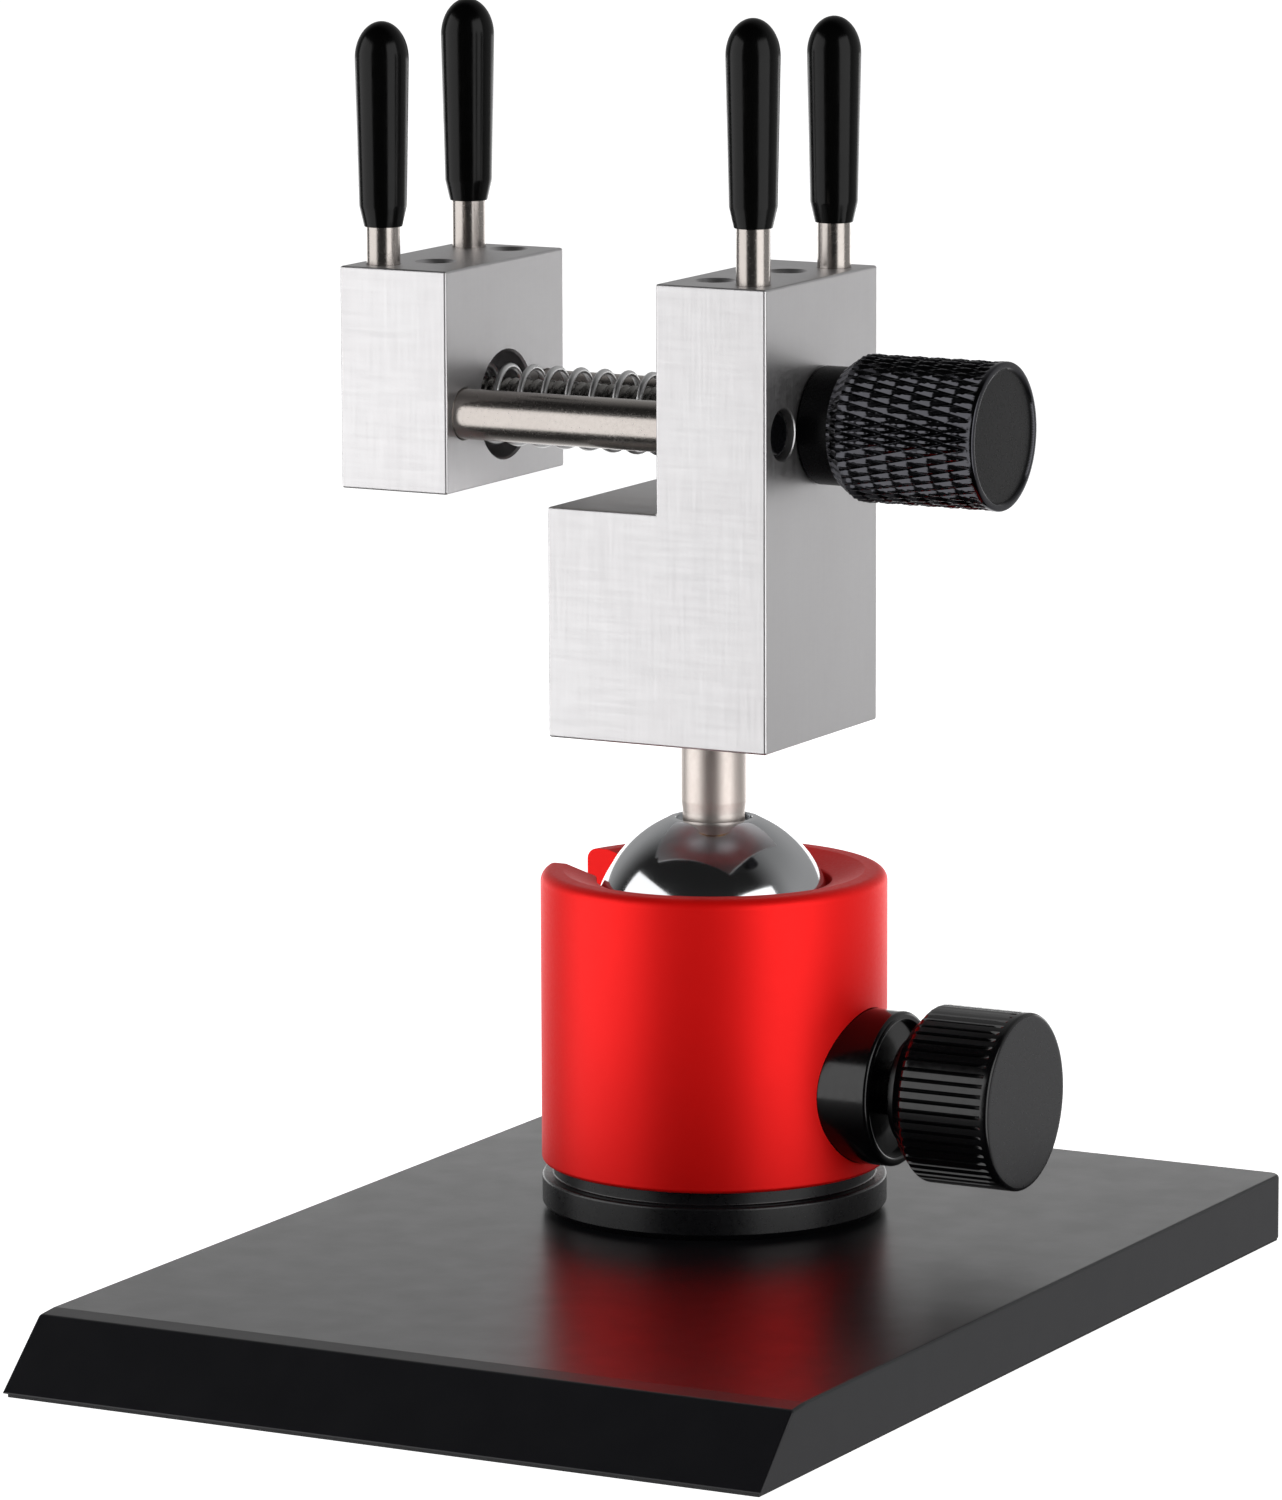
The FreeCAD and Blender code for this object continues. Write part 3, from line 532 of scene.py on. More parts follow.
def diamond_knurl_tree():
    """Two hands of V grooves rolled round a bar, leaving long blunt diamonds."""
    tree, given = new_tree("diamond_knurl", Centre="Vector", Grooves="Float", Pitch="Float", Depth="Float",
                           Start="Float", End="Float", Fade="Float")
    turn, along, outwards = about_axis(tree, given)
    round_count = add_node(tree, "ShaderNodeMath", {0: turn, 1: given.outputs["Grooves"]},
                           operation="MULTIPLY")
    run = add_node(tree, "ShaderNodeMath", {0: along, 1: given.outputs["Pitch"]}, operation="DIVIDE")
    hands = []
    for hand in ("ADD", "SUBTRACT"):
        phase = add_node(tree, "ShaderNodeMath", {0: round_count.outputs[0], 1: run.outputs[0]},
                         operation=hand)
        to_groove = add_node(tree, "ShaderNodeMath", {0: phase.outputs[0], 1: 0.5}, operation="PINGPONG")
        hands.append(to_groove.outputs[0])
    nearest = add_node(tree, "ShaderNodeMath", {0: hands[0], 1: hands[1]}, operation="MINIMUM")
    wall = add_node(tree, "ShaderNodeMapRange", {"Value": nearest.outputs[0], "From Min": 0.0,
                                                 "From Max": 0.42, "To Min": 1.0, "To Max": 0.0})
    return end_tree(tree, given, pushed_in(tree, given, along, outwards, wall.outputs["Result"]))


def straight_rib_tree():
    """Narrow grooves along a bar, leaving wide flat ribs."""
    tree, given = new_tree("straight_ribs", Centre="Vector", Grooves="Float", Depth="Float",
                           Start="Float", End="Float", Fade="Float")
    turn, along, outwards = about_axis(tree, given)
    round_count = add_node(tree, "ShaderNodeMath", {0: turn, 1: given.outputs["Grooves"]},
                           operation="MULTIPLY")
    to_groove = add_node(tree, "ShaderNodeMath", {0: round_count.outputs[0], 1: 0.5}, operation="PINGPONG")
    wall = add_node(tree, "ShaderNodeMapRange", {"Value": to_groove.outputs[0], "From Min": 0.05,
                                                 "From Max": 0.2, "To Min": 1.0, "To Max": 0.0})
    return end_tree(tree, given, pushed_in(tree, given, along, outwards, wall.outputs["Result"]))


def thread_tree():
    """A right-hand V thread cut round a bar."""
    tree, given = new_tree("screw_thread", Centre="Vector", Pitch="Float", Depth="Float",
                           Start="Float", End="Float", Fade="Float")
    turn, along, outwards = about_axis(tree, given)
    run = add_node(tree, "ShaderNodeMath", {0: along, 1: given.outputs["Pitch"]}, operation="DIVIDE")
    phase = add_node(tree, "ShaderNodeMath", {0: run.outputs[0], 1: turn}, operation="SUBTRACT")
    to_groove = add_node(tree, "ShaderNodeMath", {0: phase.outputs[0], 1: 0.5}, operation="PINGPONG")
    wall = add_node(tree, "ShaderNodeMapRange", {"Value": to_groove.outputs[0], "From Min": 0.05,
                                                 "From Max": 0.42, "To Min": 1.0, "To Max": 0.0})
    return end_tree(tree, given, pushed_in(tree, given, along, outwards, wall.outputs["Result"]))


def coil_spring_tree():
    """A compression spring about an axis along X, with one closed turn at each end."""
    tree, given = new_tree("coil_spring", Centre="Vector", Radius="Float", Wire="Float", Turns="Float",
                           Start="Float", End="Float")
    line = add_node(tree, "GeometryNodeCurvePrimitiveLine")
    points = add_node(tree, "ShaderNodeMath", {0: given.outputs["Turns"], 1: 40.0}, operation="MULTIPLY")
    fine = add_node(tree, "GeometryNodeResampleCurve", {"Curve": line.outputs[0],
                                                        "Count": points.outputs[0]})
    share = add_node(tree, "GeometryNodeSplineParameter").outputs["Factor"]
    turned = add_node(tree, "ShaderNodeMath", {0: share, 1: given.outputs["Turns"]}, operation="MULTIPLY")
    left = add_node(tree, "ShaderNodeMath", {0: given.outputs["Turns"], 1: turned.outputs[0]},
                    operation="SUBTRACT")
    closed_first = add_node(tree, "ShaderNodeMath", {0: turned.outputs[0], 1: 1.0}, operation="MINIMUM")
    closed_last = add_node(tree, "ShaderNodeMath", {0: left.outputs[0], 1: 1.0}, operation="MINIMUM")
    closed = add_node(tree, "ShaderNodeMath", {0: closed_first.outputs[0], 1: closed_last.outputs[0]},
                      operation="SUBTRACT")
    closed_run = add_node(tree, "ShaderNodeMath", {0: closed.outputs[0], 1: given.outputs["Wire"]},
                          operation="MULTIPLY")
    open_turns = add_node(tree, "ShaderNodeMath", {0: given.outputs["Turns"], 1: 2.0},
                          operation="SUBTRACT")
    open_now = add_node(tree, "ShaderNodeMath", {0: turned.outputs[0], 1: 1.0}, operation="SUBTRACT")
    open_share = add_node(tree, "ShaderNodeMath", {0: open_now.outputs[0], 1: open_turns.outputs[0]},
                          operation="DIVIDE", use_clamp=True)
    first = add_node(tree, "ShaderNodeMath", {0: given.outputs["Start"], 1: given.outputs["Wire"]},
                     operation="ADD")
    last = add_node(tree, "ShaderNodeMath", {0: given.outputs["End"], 1: given.outputs["Wire"]},
                    operation="SUBTRACT")
    between = add_node(tree, "ShaderNodeMix", {0: open_share.outputs[0], 2: first.outputs[0],
                                               3: last.outputs[0]})
    along = add_node(tree, "ShaderNodeMath", {0: between.outputs[0], 1: closed_run.outputs[0]},
                     operation="ADD")
    angle = add_node(tree, "ShaderNodeMath", {0: turned.outputs[0], 1: FULL_TURN}, operation="MULTIPLY")
    sides = {}
    for axis, kind in (("Y", "COSINE"), ("Z", "SINE")):
        wave = add_node(tree, "ShaderNodeMath", {0: angle.outputs[0]}, operation=kind)
        sides[axis] = add_node(tree, "ShaderNodeMath", {0: wave.outputs[0], 1: given.outputs["Radius"]},
                               operation="MULTIPLY").outputs[0]
    spot = add_node(tree, "ShaderNodeCombineXYZ", {"X": along.outputs[0], **sides})
    placed = add_node(tree, "ShaderNodeVectorMath", {0: spot.outputs[0], 1: given.outputs["Centre"]},
                      operation="ADD")
    coil = add_node(tree, "GeometryNodeSetPosition", {"Geometry": fine.outputs[0],
                                                      "Position": placed.outputs[0]})
    half_wire = add_node(tree, "ShaderNodeMath", {0: given.outputs["Wire"], 1: 0.5},
                         operation="MULTIPLY")
    section = add_node(tree, "GeometryNodeCurvePrimitiveCircle", {"Resolution": 14,
                                                                  "Radius": half_wire.outputs[0]})
    wire = add_node(tree, "GeometryNodeCurveToMesh", {"Curve": coil.outputs[0],
                                                      "Profile Curve": section.outputs[0],
                                                      "Fill Caps": True})
    return end_tree(tree, given, wire.outputs[0])


# --- Base -------------------------------------------------------------------------------------------

def base_plate():
    """A flat plate whose front edge is planed to a long slope behind a slim darker band."""
    foot, top = low("base_plate"), high("base_plate")
    half = (top.x - foot.x) / 2
    middle_x = (top.x + foot.x) / 2
    slope_run, band_run, band_drop, front_high = 9.7 * MM, 3.6 * MM, 0.3 * MM, 0.2 * MM
    edge, corner = 0.5 * MM, 1.5 * MM
    profile = soften([(foot.y, foot.z + front_high), (foot.y + slope_run, top.z - band_drop, 0.9 * MM),
                      (foot.y + slope_run + band_run, top.z, 0.6 * MM), (top.y - corner, top.z),
                      (top.y - corner, foot.z)], 5)[:-1]
    stations = [(point.x, point.y, half) for point in profile]
    for step in range(1, 7):
        swing = math.radians(15 * step)
        stations.append((top.y - corner + corner * math.sin(swing), top.z,
                         half - corner + corner * math.cos(swing)))
    rings = []
    for along, height, wide in stations:
        round_off = min(edge, 0.6 * (height - foot.z))
        ring = [(middle_x - wide, along, foot.z), (middle_x + wide, along, foot.z)]
        swings = [math.radians(22.5 * step) for step in range(5)]
        right = [(wide - round_off + round_off * math.cos(swing),
                  height - round_off + round_off * math.sin(swing)) for swing in swings]
        ring += [(middle_x + across, along, up) for across, up in right]
        ring += [(middle_x - across, along, up) for across, up in reversed(right)]
        rings.append(ring)
    show("plate_shell", loft("plate_shell", rings), "base_plate", "base", PLATE, 20)


def base_flange():
    """The turned foot under the housing: a wide ring, a slim neck and a plug inside the housing."""
    foot, top = low("base_flange").z, high("base_flange").z
    wide = half_across("base_flange", "x")
    ring_top, neck = foot + 5.1 * MM, wide - 1.7 * MM
    housing_foot = low("ball_housing").z
    plug = 19.3 * MM
    bolt, bolt_top = 4.02 * MM, high("base_bolt").z
    corners = [(bolt, foot), (wide - MM, foot), (wide, foot + MM, 0.2 * MM), (wide, ring_top, 0.45 * MM),
               (neck, ring_top, 0.25 * MM), (neck, housing_foot), (plug, housing_foot),
               (plug, top, 0.3 * MM), (0, top), (0, bolt_top + 0.1 * MM), (bolt, bolt_top + 0.1 * MM)]
    show("flange_ring", lathe("flange_ring", soften(corners), HEAD_AXIS, around=160), "base_flange",
         "base", SATIN_BLACK)


def round_chosen(mesh, amount, chosen):
    """Round the edges of a mesh that pass a test."""
    shape = bmesh.new()
    shape.from_mesh(mesh)
    bmesh.ops.remove_doubles(shape, verts=shape.verts, dist=0.01 * MM)
    bmesh.ops.dissolve_limit(shape, angle_limit=math.radians(0.3), verts=shape.verts, edges=shape.edges)
    edges = [edge for edge in shape.edges if chosen(edge)]
    bmesh.ops.bevel(shape, geom=edges, offset=amount, segments=4, profile=0.5, affect="EDGES",
                    clamp_overlap=True)
    bmesh.ops.recalc_face_normals(shape, faces=shape.faces)
    shape.to_mesh(mesh)
    shape.free()
    return mesh


def ball_housing():
    """The red can that holds the ball, with a dished rim, a slot for the stem and a seat for the collar."""
    foot, top = low("ball_housing").z, high("ball_housing").z
    wide = half_across("ball_housing", "x")
    cavity, mouth, dish = 19.5 * MM, 17.5 * MM, 22.4 * MM
    dish_foot, lip_foot = top - 1.5 * MM, top - 3.3 * MM
    corners = [(cavity, foot), (wide, foot, 0.6 * MM), (wide, top, 3 * MM), (dish, top, 0.7 * MM),
               (mouth, dish_foot, 0.35 * MM), (mouth, lip_foot), (cavity, lip_foot)]
    shell = lathe("housing_shell", soften(corners, 8), HEAD_AXIS, around=144)
    half = 6.5 * MM
    arch = [(HEAD.y + half * math.cos(math.radians(a)), BALL_Z + half * math.sin(math.radians(a)))
            for a in range(-180, 1, 9)]
    arch += [(HEAD.y + half, top + PAST), (HEAD.y - half, top + PAST)]
    reach = (HEAD.x - wide - PAST, HEAD.x - cavity / 2)
    slot = loft("stem_slot", [[(x, y, z) for y, z in arch] for x in reach])
    collar_mouth = Vector((HEAD.x + wide + PAST, HEAD.y, LOCK.z))
    seat_wide, seat_foot = 11.6 * MM, -3.85 * MM
    seat = lathe("collar_seat", [(0, -wide), (SCREW_BORE, -wide), (SCREW_BORE, seat_foot),
                                 (seat_wide, seat_foot), (seat_wide, PAST), (0, PAST)],
                 collar_mouth, TO_RIGHT, around=96)
    body = cut_from("housing_shell", shell, [slot, seat])

    def on_slot(point):
        """Whether a point lies on the wall of the stem's slot."""
        side = abs(abs(point.y - HEAD.y) - half) < 0.02 * MM and point.z > BALL_Z - 0.1 * MM
        from_middle = math.hypot(point.y - HEAD.y, point.z - BALL_Z)
        return point.x < HEAD.x and (side or (abs(from_middle - half) < 0.06 * MM and point.z <= BALL_Z))

    def lip(edge):
        """Whether an edge is a crisp one along the slot."""
        if len(edge.link_faces) != 2 or not all(on_slot(vert.co) for vert in edge.verts):
            return False
        return edge.calc_face_angle() > math.radians(30)

    show("housing_can", round_chosen(body, 0.9 * MM, lip), "ball_housing", "base", RED)


def lock_collar():
    """The black ring seated in the housing's side that the lock screw runs in."""
    start, end = low("lock_collar").x, high("lock_collar").x
    wide = half_across("lock_collar", "z")
    step_wide, step_foot = 10.1 * MM, end - 1.2 * MM
    corners = [(SCREW_BORE, start), (wide, start), (wide, end, 0.6 * MM), (step_wide, end, 0.35 * MM),
               (step_wide, step_foot), (SCREW_BORE, step_foot)]
    show("collar_ring", lathe("collar_ring", soften(corners), LOCK_AXIS, TO_RIGHT, 128), "lock_collar",
         "base", GLOSS_BLACK)


def lock_knob():
    """A short black knob: wide straight ribs, a long rear chamfer and a plain turned face."""
    start, face = low("lock_knob").x, high("lock_knob").x
    wide = half_across("lock_knob", "z")
    back = face - 16.4 * MM
    grip_end = face - 1.2 * MM
    hub, chamfer, hole, hole_end = 8.2 * MM, 2.2 * MM, 4 * MM, face - 4 * MM
    rear = [(hole, start), (hub, start, 0.4 * MM), (hub, back), (wide - chamfer, back, 0.3 * MM),
            (wide, back + chamfer, 1.0 * MM), (wide, grip_end)]
    front = [(wide, grip_end), (wide, face, 0.55 * MM), (wide - 1.1 * MM, face), (0, face)]
    profile = [(hole, start)] + soften(rear, 3)[1:-1]
    profile += [(wide, x) for x in stepped(back + 3 * MM, grip_end, 14)]
    profile += soften(front)[1:]
    profile += [(0, hole_end), (hole, hole_end)]
    blank = lathe("lock_blank", profile, LOCK_AXIS, TO_RIGHT, around=540)
    grip = grow("lock_grip", straight_rib_tree(), blank, Finish=GLOSS_BLACK, Centre=tuple(LOCK_AXIS),
                Grooves=54.0, Depth=0.55 * MM, Start=back + 0.3 * MM, End=grip_end, Fade=0.35 * MM)
    show("lock_grip", grip, "lock_knob", "lock", GLOSS_BLACK, 28, SATIN_BLACK,
         lambda spot: spot.x > face - 0.01 * MM or spot.x < back + 0.05 * MM)


# --- Ball and stem ----------------------------------------------------------------------------------

def ball():
    """A chrome ball with a flat and a shallow recess round the stem."""
    flat = high("ball").z
    edge = math.degrees(math.acos((flat - BALL_Z) / BALL_RADIUS))
    recess, recess_foot = 5.6 * MM, flat - 0.6 * MM
    hole, hole_foot = 4 * MM, flat - 12.6 * MM
    profile = arc(BALL_RADIUS, BALL_Z, 180, edge + 1.0, 72)
    profile += [(BALL_RADIUS * math.sin(math.radians(edge)) - 0.15 * MM, flat), (5.75 * MM, flat),
                (recess, flat - 0.15 * MM), (recess, recess_foot), (hole, recess_foot),
                (hole, hole_foot), (0, hole_foot)]
    show("chrome_ball", lathe("chrome_ball", profile, HEAD_AXIS, around=160), "ball", "ball",
         CHROME)


def stem():
    """The steel post between ball and block, with a slim foot and a groove under its ring."""
    shoulder = high("ball").z - 0.6 * MM
    top = low("stem_ring").z
    wide, foot, spigot, stud = 4.8 * MM, 4.6 * MM, 4 * MM, 3.2 * MM
    groove = wide - 0.5 * MM
    corners = [(0, low("stem").z), (spigot, low("stem").z, 0.3 * MM), (spigot, shoulder), (foot, shoulder),
               (foot, shoulder + 1.5 * MM, 0.1 * MM), (wide, shoulder + 3.2 * MM, 2 * MM),
               (wide, top - 0.8 * MM, 0.15 * MM), (groove, top - 0.5 * MM), (groove, top),
               (stud, top), (stud, high("stem").z, 0.4 * MM), (0, high("stem").z)]
    show("post", lathe("post", soften(corners), HEAD_AXIS), "stem", "ball", STAINLESS)
    base, crown = low("stem_ring").z, high("stem_ring").z
    ring = [(stud, base), (wide, base, 0.25 * MM), (wide, crown, 0.25 * MM), (stud, crown)]
    show("post_ring", lathe("post_ring", soften(ring), HEAD_AXIS), "stem_ring", "ball", BRASS)


# --- Vise -------------------------------------------------------------------------------------------

def jaw_tools(side):
    """Cutters for a jaw's upright bores: the two that hold pins and the empty ones."""
    node = f"{side}_jaw"
    top = high(node).z
    deep, pin_lip, spare_lip = 12 * MM, 0.15 * MM, 0.55 * MM
    places = [(middle(f"{row}_{side}_pin"), pin_lip) for row in ("front", "rear")]
    places += [(Vector(mount["pos_m"]), spare_lip) for mount in frame["record"]["mounts"]
               if mount["name"].startswith(side)]
    return [bore(f"{node}_bore_{index}", PIN_BORE, deep, Vector((place.x, place.y, top)), UPRIGHT, lip)
            for index, (place, lip) in enumerate(places)]


def fixed_jaw():
    """The L-shaped block: an upright jaw on a foot, bored for the stem, the rods and the screw."""
    foot, top = low("fixed_jaw"), high("fixed_jaw")
    face = HEAD.x
    step = low("moving_jaw").z - 0.6 * MM
    outline = [(foot.x, foot.z), (top.x, foot.z), (top.x, top.z), (face, top.z), (face, step),
               (foot.x, step)]
    blank = loft("fixed_blank", [[(x, y, z) for x, z in outline] for y in (foot.y, top.y)])
    stud_top = high("stem").z + 0.5 * MM
    tools = [bore("stud_bore", 3.25 * MM, stud_top - foot.z, Vector((HEAD.x, HEAD.y, foot.z)),
                  Matrix.Rotation(math.pi, 3, "X"))]
    tools.append(bore("spring_recess", SPRING_RECESS, RECESS_DEEP, Vector((face, SCREW.y, SCREW.z)),
                      TO_LEFT, 0.3 * MM))
    tools.append(bore("bushing_bore", 6 * MM, 20 * MM, Vector((top.x, SCREW.y, SCREW.z)), TO_RIGHT))
    for row in ("front", "rear"):
        rod = middle(f"{row}_guide_rod")
        tools.append(bore(f"{row}_rod_bore", ROD_BORE, 17 * MM, Vector((top.x, rod.y, rod.z)), TO_RIGHT,
                          0.15 * MM))
        tools.append(bore(f"{row}_rod_mouth", ROD_BORE, 2 * MM, Vector((face, rod.y, rod.z)), TO_LEFT))
    tools += jaw_tools("fixed")
    show("fixed_block", cut_from("fixed_block", blank, tools, JAW_EDGE), "fixed_jaw", "head",
         JAW)


def moving_jaw():
    """The square jaw that the screw draws along the two rods."""
    foot, top = low("moving_jaw"), high("moving_jaw")
    outline = [(foot.x, foot.z), (top.x, foot.z), (top.x, top.z), (foot.x, top.z)]
    blank = loft("moving_blank", [[(x, y, z) for x, z in outline] for y in (foot.y, top.y)])
    tools = [bore("spring_recess", SPRING_RECESS, RECESS_DEEP, Vector((top.x, SCREW.y, SCREW.z)), TO_RIGHT,
                  0.3 * MM),
             bore("nut_bore", SCREW_BORE, 13 * MM, Vector((foot.x, SCREW.y, SCREW.z)), TO_LEFT, 0.3 * MM)]
    for row in ("front", "rear"):
        rod = middle(f"{row}_guide_rod")
        tools.append(bore(f"{row}_rod_bore", ROD_BORE, 17.5 * MM, Vector((foot.x, rod.y, rod.z)), TO_LEFT,
                          0.3 * MM))
        tools.append(bore(f"{row}_rod_mouth", ROD_BORE, 2 * MM, Vector((top.x, rod.y, rod.z)), TO_RIGHT))
    tools += jaw_tools("moving")
    show("moving_block", cut_from("moving_block", blank, tools, JAW_EDGE), "moving_jaw", "jaw",
         JAW)


def guide_rods():
    """Two ground rods, each held behind a domed plug in the fixed jaw; the dome is gloss black, a painted
    dark reflection standing in for the dark surroundings that the rod's steel end mirrors.
    """
    for row in ("front", "rear"):
        rod, plug = f"{row}_guide_rod", f"{row}_rod_plug"
        axis = Vector((0, middle(rod).y, middle(rod).z))
        start, end, wide = low(rod).x, high(rod).x, 3.75 * MM
        corners = [(0, start), (wide, start, 0.5 * MM), (wide, end), (0, end)]
        show(f"{row}_rod_bar", lathe(f"{row}_rod_bar", soften(corners), axis, TO_RIGHT, 72), rod, "head",
             ROD)
        start, end = low(plug).x, high(plug).x
        corners = [(0, start), (wide, start), (wide, end, 1.8 * MM), (0, end)]
        # Gloss black on the dome: painted dark reflection, where the steel rod end mirrors dark surroundings.
        show(f"{row}_rod_end_painted_dark", lathe(f"{row}_rod_end_painted_dark", soften(corners, 8), axis, TO_RIGHT, 72), plug,
             "head", GLOSS_BLACK)


def pins_and_caps():
    """Four upright pins, each under a long vinyl cap that swells a little towards its dome."""
    for side, body in (("fixed", "head"), ("moving", "jaw")):
        for row in ("front", "rear"):
            pin, cap = f"{row}_{side}_pin", f"{row}_{side}_cap"
            axis = Vector((middle(pin).x, middle(pin).y, 0))
            foot, top, wide = low(pin).z, high(pin).z, 2.5 * MM
            corners = [(0, foot), (wide, foot, 0.3 * MM), (wide, top, 0.3 * MM), (0, top)]
            show(f"{row}_{side}_post", lathe(f"{row}_{side}_post", soften(corners), axis, around=64), pin,
                 body, ROD)
            mouth, cap_wide, dome_high, dome_steps = low(cap).z, 4 * MM, 5.5 * MM, 16
            shoulder, hollow_top, dome = high(cap).z - dome_high, mouth + 25 * MM, []
            for step in range(1, dome_steps + 1):
                swing = math.radians(90 * step / dome_steps)
                dome.append((cap_wide * math.cos(swing), shoulder + dome_high * math.sin(swing)))
            skin = [(PIN_BORE, mouth), (2.85 * MM, mouth, 0.1 * MM), (3.55 * MM, mouth + 3 * MM, 2.5 * MM),
                    (cap_wide, shoulder)] + dome + [(0, hollow_top), (PIN_BORE, hollow_top)]
            show(f"{row}_{side}_cover", lathe(f"{row}_{side}_cover", soften(skin, 8), axis, around=72), cap,
                 body, VINYL, 50)


# --- Clamp screw ------------------------------------------------------------------------------------

def lead_screw():
    """The steel screw along the vise, threaded as far as its collar in the fixed jaw."""
    start, end, wide = low("lead_screw").x, high("lead_screw").x, 4 * MM
    pitch = 1.25 * MM
    groove = low("retaining_ring").x
    plain = groove - MM
    rows_per_turn = 8
    rows = int((plain - start) / pitch * rows_per_turn)
    root, groove_end = wide - 0.6 * MM, groove + 0.9 * MM
    profile = [(0, start), (root, start), (wide, start + 0.6 * MM)]
    profile += [(wide, x) for x in stepped(start + 0.7 * MM, plain, rows)]
    profile += [(wide, groove), (root, groove), (root, groove_end), (wide, groove_end), (wide, end),
                (0, end)]
    blank = lathe("screw_blank", profile, SCREW_AXIS, TO_RIGHT, around=48)
    bar = grow("screw_bar", thread_tree(), blank, Finish=STEEL, Centre=tuple(SCREW_AXIS), Pitch=pitch,
               Depth=0.65 * MM, Start=start + 0.3 * MM, End=plain, Fade=1.0 * MM)
    show("screw_bar", bar, "lead_screw", "clamp", STEEL)


def clamp_knob():
    """A long black knob rolled with a coarse diamond knurl, on a plain hub."""
    start, face = low("clamp_knob").x, high("clamp_knob").x
    wide = half_across("clamp_knob", "z")
    back = face - 24.5 * MM
    hub, chamfer, chamfer_slope, hole, hole_end = 8.7 * MM, 1.8 * MM, 0.8, 4 * MM, face - 8 * MM
    grooves, steps_per_groove, diamond = 44, 6, 6.6 * MM
    row_gap = diamond / 2 / steps_per_groove
    grip_end = face - 0.7 * MM
    profile = [(hole, start), (8.3 * MM, start), (hub, start + 0.4 * MM), (hub, back)]
    count = int((grip_end - back) / row_gap)
    rows = [grip_end - row_gap * (count - row) for row in range(count + 1)]
    profile += [(wide - max(0.0, chamfer - chamfer_slope * (x - back)), x) for x in rows]
    front = soften([(wide, grip_end), (wide, face, 0.4 * MM), (wide - 0.9 * MM, face, 0.2 * MM),
                    (wide - 1.3 * MM, face - 0.4 * MM, 0.3 * MM), (0, face - 0.35 * MM)])
    profile += front[1:]
    profile += [(0, hole_end), (hole, hole_end)]
    blank = lathe("clamp_blank", profile, SCREW_AXIS, TO_RIGHT, around=grooves * steps_per_groove,
                  staggered=True)
    grip = grow("clamp_grip", diamond_knurl_tree(), blank, Finish=BLACK_NICKEL,
                Centre=(rows[0], SCREW.y, SCREW.z), Grooves=float(grooves), Pitch=diamond,
                Depth=0.42 * MM, Start=0.0, End=grip_end - rows[0], Fade=0.3 * MM)

    def unknurled_painted_dark(spot):
        """Whether a spot is on the hub or the dished face, which carry no knurl and take the darker copy of
        the knob's black as painted shade and painted dark reflection.
        """
        from_axis = math.hypot(spot.y - SCREW.y, spot.z - SCREW.z)
        on_face = spot.x > face - 0.5 * MM and from_axis < wide - 1.1 * MM
        return spot.x < rows[0] or on_face

    # The hub and dished face take the darker copy of the knob's black: painted shade and painted dark
    # reflection.
    show("clamp_grip", grip, "clamp_knob", "clamp", BLACK_NICKEL, 24, KNOB_BLACK_PAINTED_DARK, unknurled_painted_dark)


def jaw_spring():
    """The spring on the screw that pushes the jaws apart and would shorten as they close; it is made once, at
    the length it has in the frame.
    """
    start, end = low("jaw_spring").x, high("jaw_spring").x
    wide = half_across("jaw_spring", "z")
    wire = 0.99 * MM
    coil = grow("coil", coil_spring_tree(), bpy.data.meshes.new("coil"), Finish=WIRE,
                Centre=tuple(SCREW_AXIS), Radius=wide - 0.5 * MM, Wire=wire, Turns=12.95,
                Start=start + wire / 2, End=end - wire / 2)
    spring = show("coil", coil, "jaw_spring", "head", WIRE)
    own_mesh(spring)


def inner_parts():
    """The plain inner parts keep their solids and get their own finishes."""
    finishes = {"antislip_sheet": RUBBER, "base_bolt": OXIDE, "ball_liner": ACETAL, "lift_block": STEEL,
                "lock_wedge": STEEL, "lock_screw": STEEL, "ball_seat": ACETAL, "screw_bushing": BRASS,
                "retaining_ring": OXIDE, "clamp_set_screw": OXIDE}
    for node, finish in finishes.items():
        mesh = frame["nodes"][node].data
        mesh.materials.clear()
        mesh.materials.append(finish)


# --- Studio -----------------------------------------------------------------------------------------

def softbox(name, around, above, away, wide, tall, radiance):
    """A large even panel, aimed at the vise, whose face is about as bright as radiance."""
    light = bpy.data.lights.new(name, "AREA")
    light.shape = "RECTANGLE"
    light.size, light.size_y = wide, tall
    light.energy = math.pi * wide * tall * radiance
    lamp = bpy.data.objects.new(name, light)
    way = direction(around, above)
    lamp.location = Vector((HEAD.x, HEAD.y, 0.1)) + way * away
    lamp.rotation_euler = way.to_track_quat("Z", "Y").to_euler()
    lamp.visible_camera = False
    bpy.context.scene.collection.objects.link(lamp)


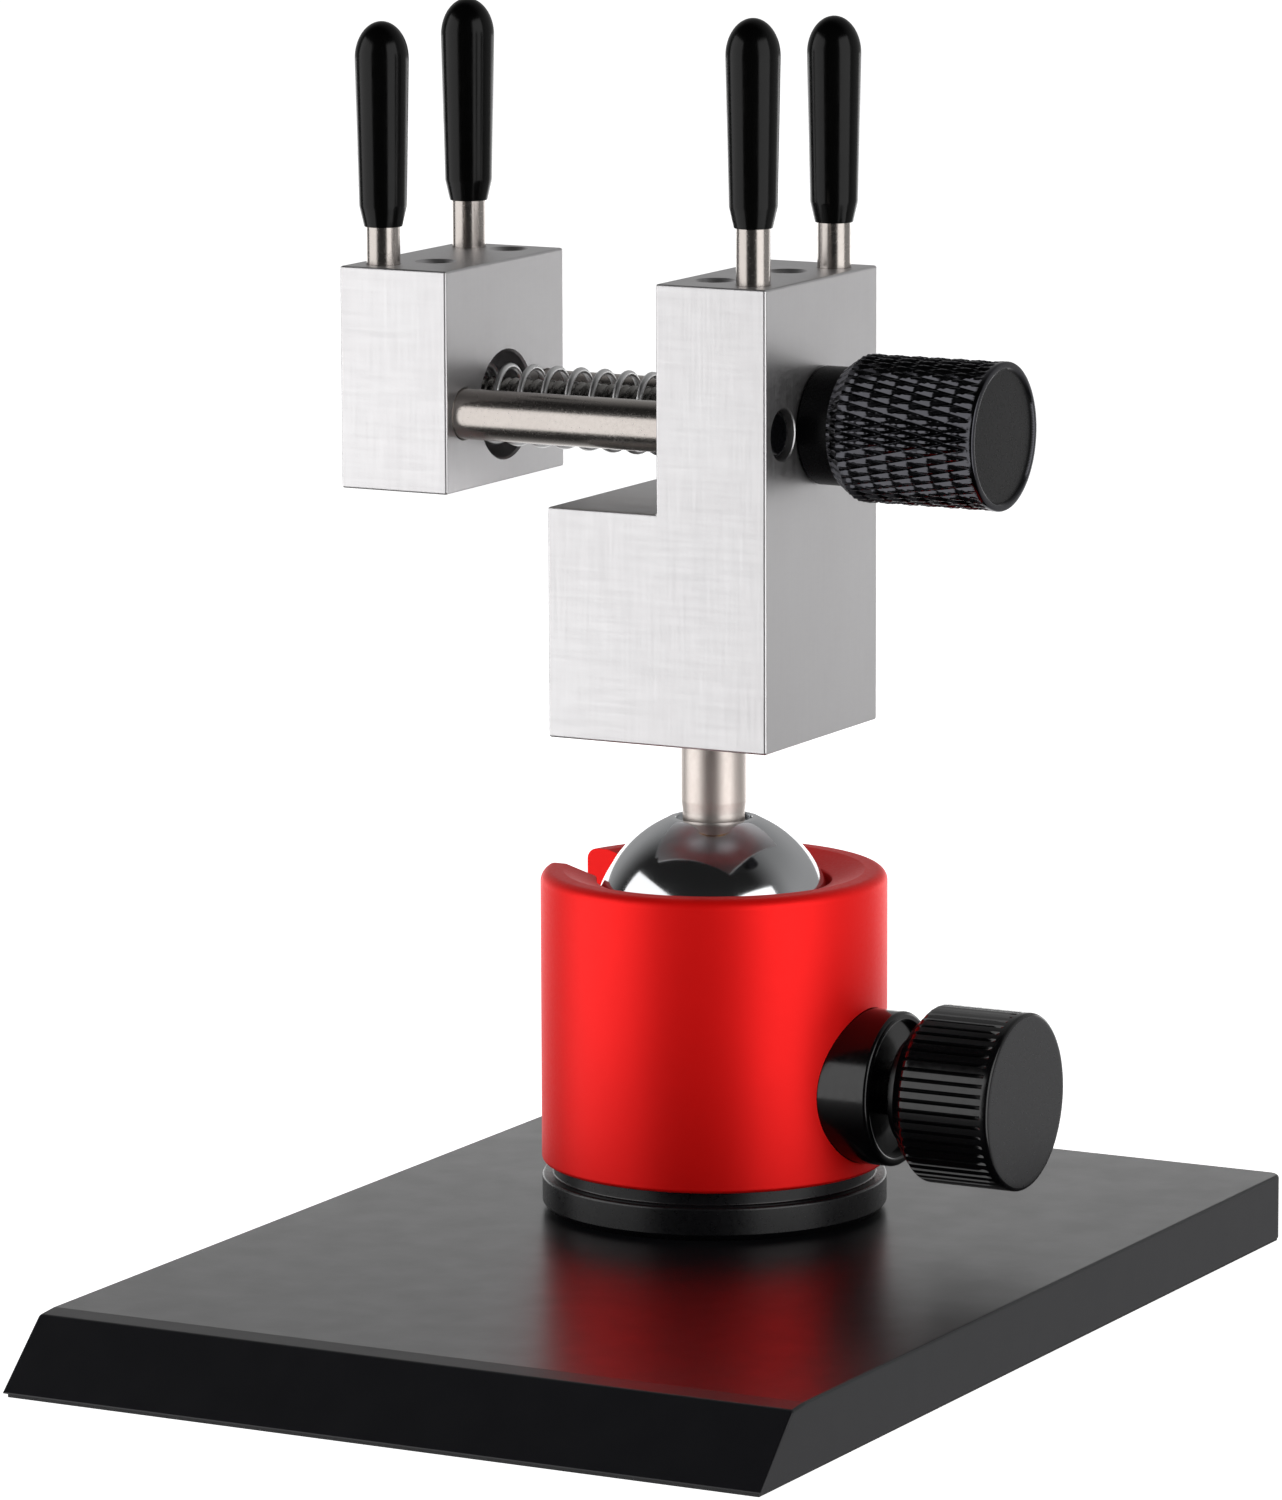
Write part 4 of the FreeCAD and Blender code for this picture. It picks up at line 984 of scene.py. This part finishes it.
def studio():
    """White paper under the part, a tall softbox on each side and a low one behind."""
    ground = loft("floor", [[(-9, y, 0), (9, y, 0), (9, y, -0.01), (-9, y, -0.01)] for y in (-5, 13)])
    floor = bpy.data.objects.new("floor", ground)
    bpy.context.scene.collection.objects.link(floor)
    paper, tree, shader = new_finish("lit_white_paper", Emission_Color=linear("#ffffff"),
                                     Emission_Strength=0.97)
    surface(tree, shader, grain(tree, 200 * MM), ("#f0f0f0", "#f2f2f2"), grain(tree, 100 * MM), (0.85, 0.95))
    ground.materials.append(paper)
    floor.visible_glossy = False
    floor.visible_shadow = False

    world = bpy.data.worlds.new("studio")
    bpy.context.scene.world = world
    world.use_nodes = True
    tree = world.node_tree
    tree.nodes.clear()
    way = add_node(tree, "ShaderNodeTexCoord").outputs["Generated"]
    parts = add_node(tree, "ShaderNodeSeparateXYZ", {0: way})
    # Each brightness eases along one axis: the axis, where it starts and ends, and how bright it is there
    eased = {}
    for name, axis, start, end, at_start, at_end in (("behind", "Y", -0.1, 0.55, 0.03, 0.42),
                                                     ("above", "Z", 0.3, 0.9, 1.0, 0.6),
                                                     ("paper_behind", "Y", 0.4, 0.8, 0.0, 0.8),
                                                     ("paper_below", "Z", -0.15, 0.0, 1.0, 0.0),
                                                     ("paper_left", "X", -0.1, 0.25, 1.0, 0.0)):
        eased[name] = add_node(tree, "ShaderNodeMapRange", {"Value": parts.outputs[axis], "From Min": start,
                                                            "From Max": end, "To Min": at_start,
                                                            "To Max": at_end},
                               interpolation_type="SMOOTHSTEP").outputs["Result"]
    room = add_node(tree, "ShaderNodeMath", {0: eased["behind"], 1: eased["above"]}, operation="MULTIPLY")
    low_behind = add_node(tree, "ShaderNodeMath", {0: eased["paper_behind"], 1: eased["paper_below"]},
                          operation="MULTIPLY")
    glow = add_node(tree, "ShaderNodeMath", {0: low_behind.outputs[0], 1: eased["paper_left"]},
                    operation="MULTIPLY")
    total = add_node(tree, "ShaderNodeMath", {0: room.outputs[0], 1: glow.outputs[0]}, operation="ADD")
    walls = add_node(tree, "ShaderNodeBackground", {"Color": linear("#ffffff"), "Strength": total.outputs[0]})
    add_node(tree, "ShaderNodeOutputWorld", {"Surface": walls.outputs[0]})

    softbox("left_softbox", -50, -1, 1.0, 1.25, 1.5, 1.7)
    softbox("right_softbox", 76, 3, 1.0, 0.9, 1.4, 2.0)
    softbox("low_back_softbox", -155, -7, 0.55, 1.2, 0.17, 1.3)
    bpy.context.scene.view_settings.view_transform = "Standard"


def camera():
    """Stand off to the right of the front, a little above, with a long lens."""
    lens = bpy.data.cameras.new("camera")
    lens.sensor_width = 36
    lens.lens = 201.25
    lens.clip_end = 100
    eye = bpy.data.objects.new("camera", lens)
    aim = Vector((HEAD.x - 18.36 * MM, HEAD.y + 11.46 * MM, 75.83 * MM))
    back = direction(28.214, 9.759)
    away, roll = 1.26, math.radians(-0.206)
    level = Matrix.Translation(aim + back * away) @ back.to_track_quat("Z", "Y").to_matrix().to_4x4()
    eye.matrix_world = level @ Matrix.Rotation(roll, 4, "Z")
    bpy.context.scene.collection.objects.link(eye)
    bpy.context.scene.camera = eye


camera()
studio()
base_plate()
base_flange()
ball_housing()
lock_collar()
lock_knob()
ball()
stem()
fixed_jaw()
moving_jaw()
guide_rods()
pins_and_caps()
lead_screw()
clamp_knob()
jaw_spring()
inner_parts()
